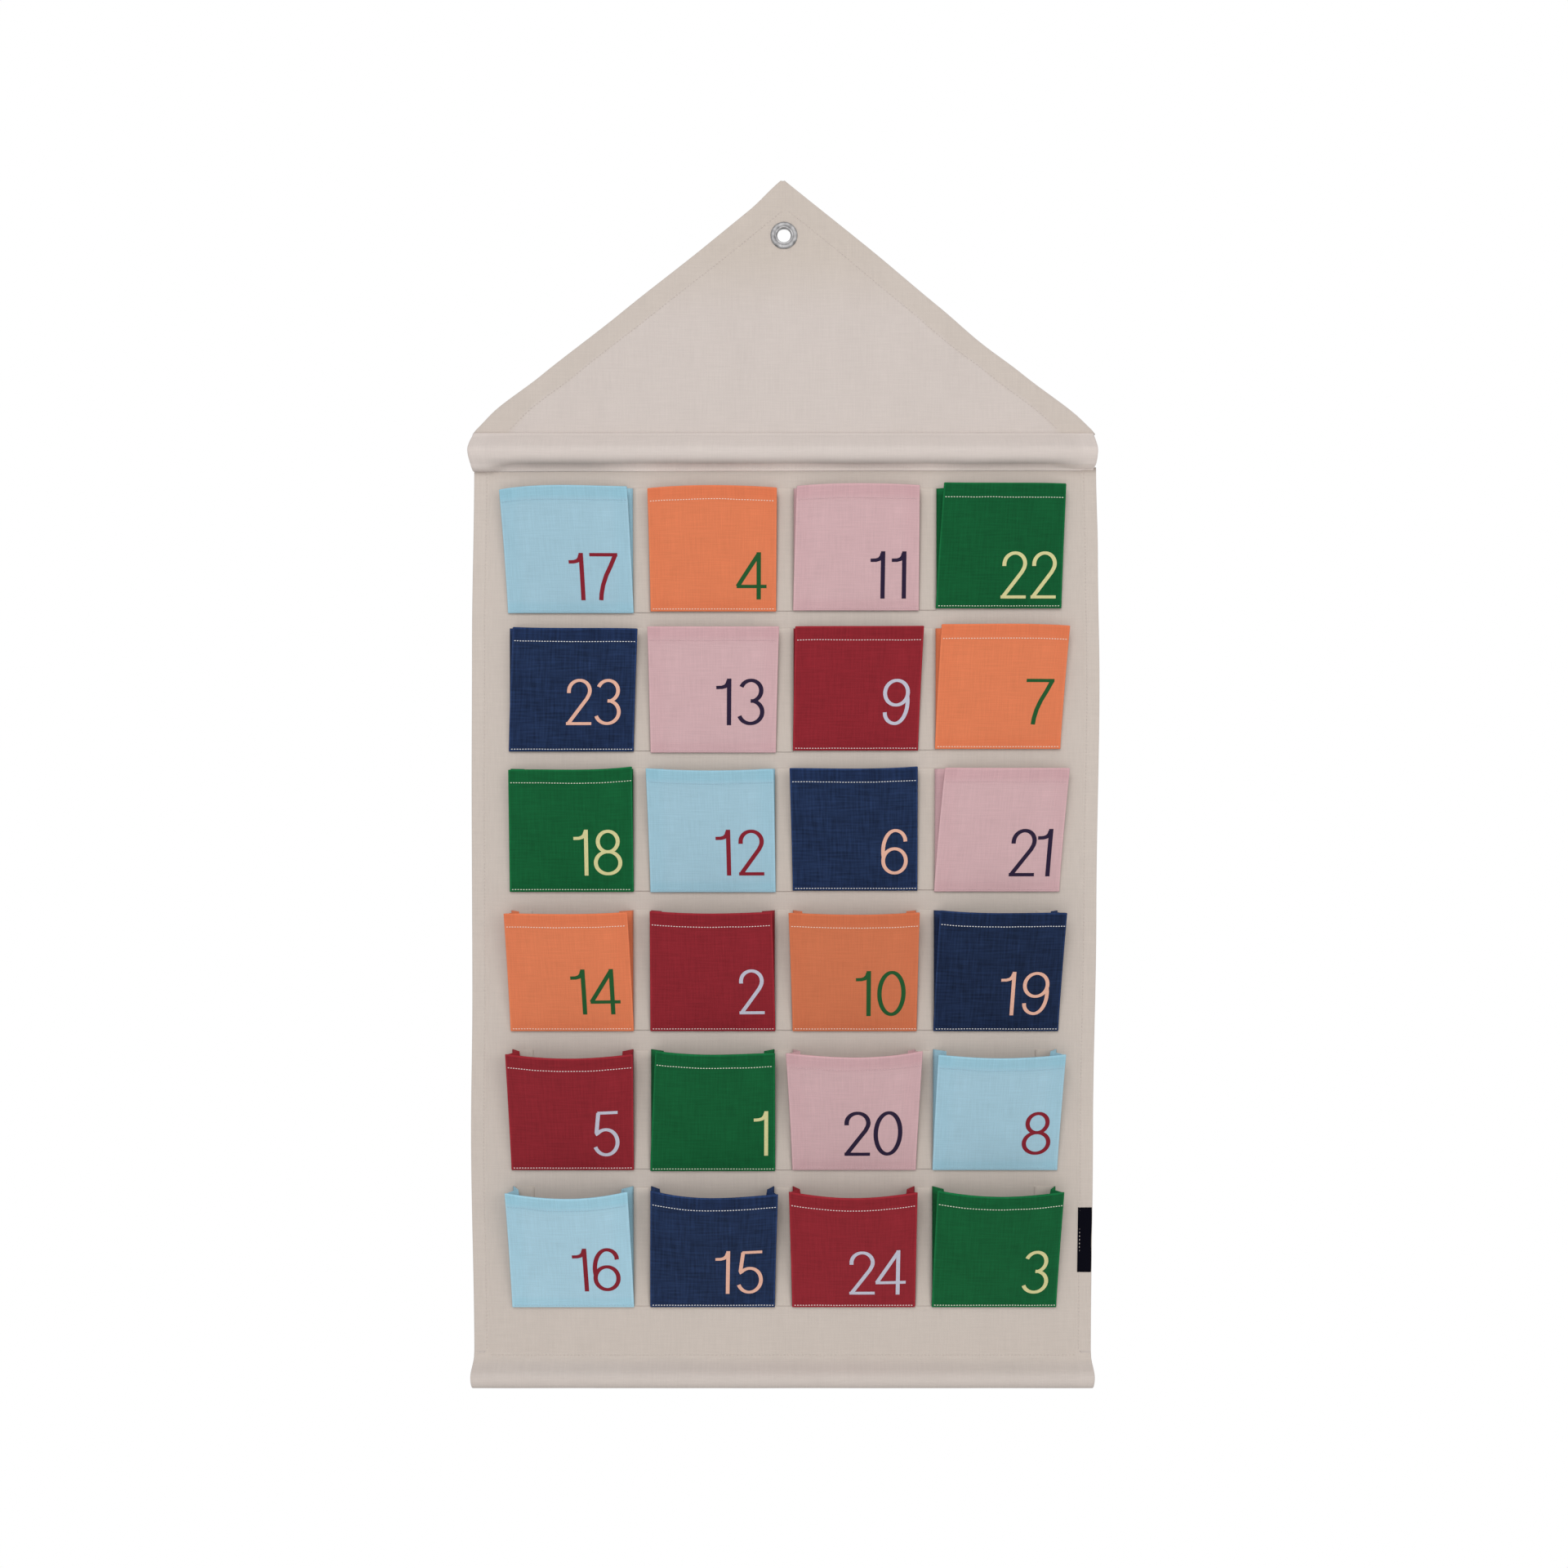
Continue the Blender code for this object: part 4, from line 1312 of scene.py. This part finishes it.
def spread(path, count):
    """The same path as evenly spaced points."""
    lengths = lengths_along(path)
    found = []
    for i in range(count + 1):
        goal = lengths[-1] * i / count
        k = next(j for j in range(1, len(path)) if lengths[j] > goal - 0.000001)
        share = (goal - lengths[k - 1]) / (lengths[k] - lengths[k - 1])
        found.append(between_points(path[k - 1], path[k], share))
    return found


centre = (ROD_DEPTH, TOP_ROD_Z)
# From the sewn edge up to the rod's front, drawn snugly round the rod
foot = CASING_FOOT_Z
lip = [(0.0009, foot - 0.0012), (0.0011, foot - 0.0007), (LIP_DEPTH, foot)]
round_rod = arc(centre, WRAP_RADIUS, math.radians(-95), math.radians(10), 12)
snug = curve(lip[-1], (0.0014, foot + 0.0054), (0.0026, foot + 0.0070), round_rod[0], 9)
snug = spread([lip[-1]] + snug + round_rod[1:], 20)
# The same stretch where it hangs slack
slack = curve(lip[-1], (0.0050, foot - 0.0014), (0.0152, foot + 0.0014), round_rod[-1], 14)
slack = spread([lip[-1]] + slack, 20)
# On over the rod to the seam at the top, and down behind it
over_rod = arc(centre, WRAP_RADIUS, math.radians(16), math.radians(46), 4)
leave = over_rod[-1]
slope = (leave[0] - 0.0070, leave[1] + 0.0068)
top_edge = (LIP_DEPTH, FOLD_Z - 0.0006)
over_rod += curve(leave, slope, (LIP_DEPTH + 0.0010, FOLD_Z - 0.0024), top_edge, 9)
over_rod += arc((0.0009, FOLD_Z - 0.0006), LIP_DEPTH - 0.0009, 0, math.pi, 6)[1:]
over_rod += [(0.0004, z) for z in (-0.1720, -0.1810, -0.1880, foot - 0.0010)]
upper_path = lip + snug[1:] + over_rod
slack_path = lip + slack[1:] + over_rod
upper_lengths = lengths_along(upper_path)
top_fold = upper_lengths[-7]


# %% Hang the casing
CASING_HALF = 0.2570  # half its length, to the fold of its hemmed ends
CASING_MIDDLE = -0.0004


def droop(x):
    """How far the sewn edge wanders down to the left."""
    return -0.0012 + 0.0024 * smooth(-0.26, 0.26, x) + 0.0004 * ripple(x, 0, 0.07, 4.0)


def casing_place(a, b):
    index = min(range(len(upper_lengths)), key=lambda i: abs(upper_lengths[i] - b))
    past = abs(a) - CASING_HALF
    # The open ends are stiff with their hems, so they hang slack below the rod
    end = 0.08 + 0.92 * smooth(-0.038, -0.008, past)
    depth, z = between_points(upper_path[index], slack_path[index], end)
    reach, behind = fold_over(past, 0.00045)
    step = inward(upper_path, index, behind)
    low, high = CASING_FOOT_Z, FOLD_Z
    height = min(1.0, max(0.0, (z - low) / (high - low)))
    swell = 0.0026 if a < 0 else 0.0012
    swell *= math.sin(math.pi * height) * smooth(-0.02, 0.0, past)
    side = -1 if a < 0 else 1
    x = CASING_MIDDLE + side * (min(abs(a), CASING_HALF) + (reach if past > 0 else 0) + swell)
    front = smooth(0.0016, 0.005, depth)
    under = front * smooth(TOP_ROD_Z + 0.002, TOP_ROD_Z - 0.006, z)
    tight = smooth(-0.004, -0.03, past)
    wave = 0.0004 * (1 + ripple(x, 0.4 * z, 0.05, 5.0))
    wave += 0.0003 * (1 + ripple(x, 0.5 * z, 0.018, 9.0))
    sag = 0.0004 * (1 + ripple(x, 0, 0.06, 7.0)) + 0.0002 * (1 + ripple(x, 0, 0.02, 8.0))
    z -= under * tight * sag
    sewn = smooth(0.0008, 0.0012, depth)
    over_hem = 0.0006 * smooth(0.243, 0.2465, abs(x)) * sewn * smooth(low + 0.006, low + 0.002, z)
    opened = 0.0008 * smooth(-0.205, -0.245, x) * sewn * smooth(high - 0.004, high - 0.001, z)
    z += droop(x) * smooth(low + 0.0035, low, z) * sewn
    return x, -(depth + front * tight * wave + over_hem + opened + step[0]), z + step[1]


def casing_dye(a, b):
    """Painted light: a little paler all over, and much paler in the shaded hollow under the rod,
    less so at the left end.
    """
    return 0.05 + 0.32 * smooth(0.016, 0.010, b) * (0.45 + 0.55 * smooth(-0.17, -0.11, a))


half = CASING_HALF
edge = positions((half - 0.045, half - 0.006, 0.004), (half - 0.006, half, 0.0015))
edge += positions((half + 0.0004, half + 0.0014, 0.00035), (half + 0.0022, half + 0.0030, 0.0008))
across = mirrored(edge, positions((-half + 0.05, half - 0.05, 0.005)))


# The hemmed ends are a little paler, and the top fold paler still: a painted highlight along the
# edge that faces up
def casing_crease(a, b):
    hem = 0.25 * smooth(0.0125, 0.0105, CASING_HALF - abs(a))
    return max(hem, 0.5 * smooth(0.0014, 0.0005, abs(b - top_fold)))


casing = hang_sheet(
    "top_casing_cloth",
    "natural",
    across,
    upper_lengths,
    casing_place,
    CASING_CLOTH,
    {"layers": lambda a, b: 0.0, "painted_light": casing_dye, "crease": casing_crease},
)
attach(casing, "panel")
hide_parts("top_rod_casing")
print("the casing's cloth is", round(1000 * upper_lengths[-1]), "mm long round the rod")

# %% [markdown]
# ## The gable
# The gable is a triangle of the same canvas, with both slopes turned back 17 mm and sewn.
# It hangs from one point, so soft folds run from the eyelet to the corners. Its lower edge
# goes into the casing's upper edge.


# %% The gable's edges and depth
# How far each slope bows out of a straight line, by its height from the seam to the apex
LEFT_BOW = (
    (0, 0), (0.1, 0.0040), (0.23, 0.0011), (0.48, -0.0018), (0.74, -0.0040), (0.88, -0.0040), (1, 0)
)
RIGHT_BOW = (
    (0, 0), (0.08, 0.0024), (0.23, -0.0006), (0.36, -0.0032), (0.5, -0.0012), (0.74, 0.0006), (1, 0)
)
GABLE_LEFT, GABLE_RIGHT = 0.2562, 0.2582  # how far its two corners reach out
GABLE_LOW = FOLD_Z - 0.0012
GABLE_CLOTH = 0.0007
HEM_TURN = 0.017
APEX_SHIFT = 0.0022  # how far the apex lies to the left of the eyelet
SLOPE = 0.63  # a length across a slope, for each length level with the floor
EYELET_BORE = 0.0066  # the hole in the cloth


def gable_edges(z):
    rise = max(0.0, (z - FOLD_Z) / (APEX_Z - FOLD_Z))
    left = -(APEX_SHIFT + GABLE_LEFT * (1 - rise)) - between(LEFT_BOW, rise)
    right = GABLE_RIGHT * (1 - rise) + between(RIGHT_BOW, rise)
    return left, right


def gable_depth(x, z):
    below = smooth(-0.018, FOLD_Z, z)
    swell = math.sin(math.pi * below)
    left, right = gable_edges(z)
    u = (2 * x - left - right) / max(0.004, right - left)
    fold = 0.5 - 0.5 * math.cos(5 * math.pi * (u + 1))
    edge = min(x - left, right - x)
    hem = 1 - smooth(HEM_TURN - 0.001, HEM_TURN + 0.002, edge)
    distance = math.hypot(x, z)
    angle = math.atan2(x, -z)
    pucker = 0.00035 * math.exp(-((distance - 0.017) / 0.011) ** 2) * math.cos(9 * angle)
    gather = 0.00025 * smooth(0.03, 0.004, z - FOLD_Z) * smooth(0, 0.004, z - FOLD_Z)
    gather *= ripple(x, 0.3 * z, 0.011, 6.0)
    drape = 0.0007 * swell * ripple(x * (1.4 - below), 0.12 * z, 0.022, 1.0)
    depth = 0.0010 + 0.0014 * (1 - below) + 0.0005 * hem * smooth(FOLD_Z, FOLD_Z + 0.01, z)
    return depth + 0.0018 * swell * fold + drape + gather + pucker


# %% Fold the gable's hems
def gable_place(a, b):
    rise = min(1.0, b / (APEX_Z - GABLE_LOW))
    z = GABLE_LOW + (APEX_Z - GABLE_LOW) * rise
    left, right = gable_edges(z)
    past = abs(a) - 1
    x = left + (right - left) * (min(1.0, max(-1.0, a)) + 1) / 2
    depth = gable_depth(x, z)
    if past > 0:
        reach, behind = fold_over(past, 0.0004)
        slope = Vector((APEX_Z - FOLD_Z, 0.257)).normalized()
        rise = max(reach * slope.y, GABLE_LOW - z)
        turned = (reach - rise * slope.y) / slope.x
        x = max(x + turned, 0.0003) if a > 0 else min(x - turned, -0.0003)
        z += rise
        depth -= behind
    return x, -depth, z


# Across from -1 to 1, with the turned hems beyond, and up in metres
across = mirrored([1.0004, 1.0008, 1.0013, 1.0150], positions((-1, 1, 0.025)))
GABLE_RISE = APEX_Z - GABLE_LOW
up = positions((0, GABLE_RISE - 0.004, 0.004), (GABLE_RISE - 0.004, GABLE_RISE, 0.001))


def gable_layers(a, b):
    x, _, z = gable_place(a, b)
    left, right = gable_edges(z)
    edge = min(x - left, right - x) * SLOPE
    hem = 1 - smooth(HEM_TURN - 0.0010, HEM_TURN + 0.0010, edge)
    return max(0.8 * hem, smooth(-0.075, -0.008, z))


def gable_cut(a, b):
    """The point's place on the flat cut, where the turned hems lie beyond the slopes."""
    inside = max(-1, min(1, a))
    x, _, z = gable_place(inside, b)
    return x + (a - inside) * 1.6, z


# %% Hang the gable
gable = hang_sheet(
    "gable_cloth_sheet",
    "natural",
    across,
    up,
    gable_place,
    GABLE_CLOTH,
    {"layers": gable_layers},
    gable_cut,
)
bpy.ops.mesh.primitive_cylinder_add(
    vertices=48, radius=EYELET_BORE, depth=0.03, rotation=(math.pi / 2, 0, 0)
)
punch = bpy.context.object
hole = gable.modifiers.new("eyelet hole", "BOOLEAN")
hole.operation = "DIFFERENCE"
hole.object = punch
apply_modifiers(gable)
bpy.data.objects.remove(punch)
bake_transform(gable)
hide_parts("gable_cloth")
print("the gable has", len(gable.data.polygons), "faces")

# %% [markdown]
# ## The side label
# A short black ribbon is folded over the panel's right edge and sewn down. It is left blank.


# %% Fold the label
LABEL_Z = PANEL_BOTTOM + 0.0936
LABEL_HEIGHT = 0.0536
LABEL_REACH = 0.0108
LABEL_WIDTH = 0.0205  # with the part behind the panel


def label_finish():
    """Satin, with fine ribs along its length."""
    finish, tree, shader = new_finish("black_satin_ribbon", Roughness=0.6, Specular_IOR_Level=0.04)
    rib = stretched_noise(tree, flat_map(tree), 300, 5200, 1.0)
    tone = calculate(tree, "MULTIPLY_ADD", rib, 0.9, 0.55)
    tint(tree, shader, (0.0014, 0.0014, 0.0045), tone)
    emboss(tree, shader, rib, 0.3, 0.0001)
    return finish


def label_place(a, b):
    z = LABEL_Z - LABEL_HEIGHT / 2 + b
    _, right = panel_edges(z)
    reach, behind = fold_over(a - LABEL_REACH, 0.0009)
    x = right - 0.0006 + reach
    wave = 0.00015 * math.sin(b * 180)
    return x, -(0.0020 + wave - behind), z


# %% Hang the label
CLOTHS["black"] = label_finish()
SLOTS["black"] = "black_ribbon"
turned = LABEL_REACH + 0.003
label = hang_sheet(
    "side_label_ribbon",
    "black",
    positions(
        (0, LABEL_REACH, 0.0016), (LABEL_REACH, turned, 0.0005), (turned, LABEL_WIDTH, 0.0024)
    ),
    positions((0, LABEL_HEIGHT, 0.0025)),
    label_place,
    0.0003,
)
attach(label, "panel")
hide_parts("side_label")
print("the label is", round(1000 * LABEL_HEIGHT, 1), "mm tall")

# %% [markdown]
# ## The canvas seams
# The gable's slopes, the panel's sides and both casings are sewn with natural thread, which
# is only a little paler than the canvas.


# %% Where the canvas is sewn
SEAM_LIFT = 0.0001  # of a seam's threads above the cloth's face
SIDE_SEAM = 0.0098  # from the panel's edge
CANVAS_STITCH = 0.003
BOTTOM_SEAM_Z = -0.9286


def gable_seam(side):
    """The points of the seam along one slope's hem, from the top down."""
    path = []
    start = APEX_Z - 0.022
    for i in range(80):
        z = start - i / 79 * (start - FOLD_Z - 0.004)
        left, right = gable_edges(z)
        inset = HEM_TURN / SLOPE
        x = left + inset if side < 0 else right - inset
        if side * x > 0.001:
            path.append((x, -(gable_depth(x, z) + GABLE_CLOTH / 2 + SEAM_LIFT), z))
    return path


def side_seam(side):
    """The points of the seam along one side hem of the panel, from the top down."""
    path = []
    for i in range(100):
        z = PANEL_TOP - 0.002 - i / 99 * (PANEL_TOP - PANEL_BOTTOM - 0.004)
        left, right = panel_edges(z)
        x = left + SIDE_SEAM if side < 0 else right - SIDE_SEAM
        path.append((x, -(panel_depth(x, z) + PANEL_CLOTH / 2 + SEAM_LIFT), z))
    return path


# %% Sew the slopes, the sides and the casings
for side, word in ((-1, "left"), (1, "right")):
    seam = sew(f"gable_{word}_seam", "natural", gable_seam(side), CANVAS_STITCH, side)
    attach(seam, "gable")
    seam = sew(f"panel_{word}_seam", "natural", side_seam(side), CANVAS_STITCH, side + 5)
    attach(seam, "panel")

along = [x / 100 for x in range(-25, 26)]
depth = LIP_DEPTH + CASING_CLOTH / 2 - 0.0002  # pulled a little into the cloth
path = [(x, -depth, CASING_FOOT_Z + 0.0009 + droop(x)) for x in along]
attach(sew("top_casing_seam", "natural", path, CANVAS_STITCH, 3.3), "panel")
# The bottom casing is sewn where its path passes this height in front
seam_at = min(
    range(len(lower_path)),
    key=lambda i: abs(lower_path[i][1] - BOTTOM_SEAM_Z) + (lower_path[i][0] < 0.0006),
)
depth, height = lower_path[seam_at]
path = [(x, -(depth + PANEL_CLOTH / 2 + SEAM_LIFT), height) for x in along]
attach(sew("bottom_casing_seam", "natural", path, CANVAS_STITCH, 4.4), "panel")
print("sewed 6 seams in the canvas")

# %% [markdown]
# ## Metal and wood
# The eyelet and the rods are solid pieces, so the frame's own shapes stay and only get a
# finish. The eyelet is bright plating with fine scratches, and the rods are sanded beech,
# with grain along their length.


# %% Bright plating
def plating_finish():
    """Bright plating whose colour by radius is painted reflection and painted shade: light on each
    ring's crown, dark in each groove.
    """
    finish, tree, shader = new_finish("bright_plating", Metallic=1.0)
    place = node(tree, "ShaderNodeTexCoord").outputs["Object"]
    split = node(tree, "ShaderNodeSeparateXYZ")
    link(tree, place, split.inputs[0])
    x, _, z = split.outputs
    square = calculate(tree, "MULTIPLY_ADD", z, z, calculate(tree, "MULTIPLY", x, x))
    radius = calculate(tree, "SQRT", square)
    # Painted reflection and shade by radius: the greys run from the bore's edge, 5.2 mm from
    # the middle, to the flange's, 6.2 mm on
    painted_ring_ramp = node(tree, "ShaderNodeValToRGB")
    share = calculate(tree, "MULTIPLY_ADD", radius, 1 / 0.0062, -0.0052 / 0.0062)
    link(tree, share, painted_ring_ramp.inputs[0])
    painted_ring_greys = (
        (0.0, 0.20), (0.12, 0.34), (0.26, 0.58), (0.38, 0.28),
        (0.52, 0.40), (0.68, 0.52), (0.84, 0.30), (1.0, 0.17),
    )
    ramp = painted_ring_ramp.color_ramp
    while len(ramp.elements) < len(painted_ring_greys):
        ramp.elements.new(0.5)
    for element, (position, grey) in zip(ramp.elements, painted_ring_greys):
        element.position = position
        element.color = (grey, 0.98 * grey, 0.99 * grey, 1)
    patches = node(tree, "ShaderNodeTexNoise", Scale=230.0, Detail=1.0)
    link(tree, place, patches.inputs["Vector"])
    tone = calculate(tree, "MULTIPLY_ADD", patches.outputs["Fac"], 1.8, 0.1)
    tint(tree, shader, painted_ring_ramp.outputs[0], tone)
    scratch = node(tree, "ShaderNodeTexNoise", Scale=900.0, Detail=6.0)
    link(tree, place, scratch.inputs["Vector"])
    dulled = calculate(tree, "MULTIPLY_ADD", scratch.outputs["Fac"], 0.14, 0.12)
    link(tree, dulled, shader.inputs["Roughness"])
    return finish


# %% Sanded beech
def wood_finish():
    """Sanded beech, whose grain is stretched along the rod."""
    finish, tree, shader = new_finish("sanded_beech", Roughness=0.6)
    stretch = node(tree, "ShaderNodeMapping", Scale=(12, 420, 420))
    link(tree, node(tree, "ShaderNodeTexCoord").outputs["Object"], stretch.inputs["Vector"])
    grain = node(tree, "ShaderNodeTexNoise", Scale=1.0, Detail=5.0)
    link(tree, stretch.outputs[0], grain.inputs["Vector"])
    shades = mix_colours(tree, grain.outputs["Fac"], (0.42, 0.24, 0.11), (0.66, 0.45, 0.25))
    link(tree, shades, shader.inputs["Base Color"])
    emboss(tree, shader, grain.outputs["Fac"], 0.25, 0.0002)
    return finish


# %% Finish the eyelet and the rods
plating, beech = plating_finish(), wood_finish()
finishes = {
    "eyelet_front": plating,
    "eyelet_washer": plating,
    "top_rod": beech,
    "bottom_rod": beech,
}
for name, finish in finishes.items():
    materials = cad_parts[name].data.materials
    materials.clear()
    materials.append(finish)
print("finished", ", ".join(finishes))

# %% [markdown]
# ## Finish
# The box of the dressed calendar is written beside the frame's box, to see that the cloth
# keeps to the calendar's real size.
# %% Write the sizes and finish
visual_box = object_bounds()
for word, box in (("cad", cad_box), ("dressed", visual_box)):
    print(word, [[round(v, 4) for v in corner] for corner in box])
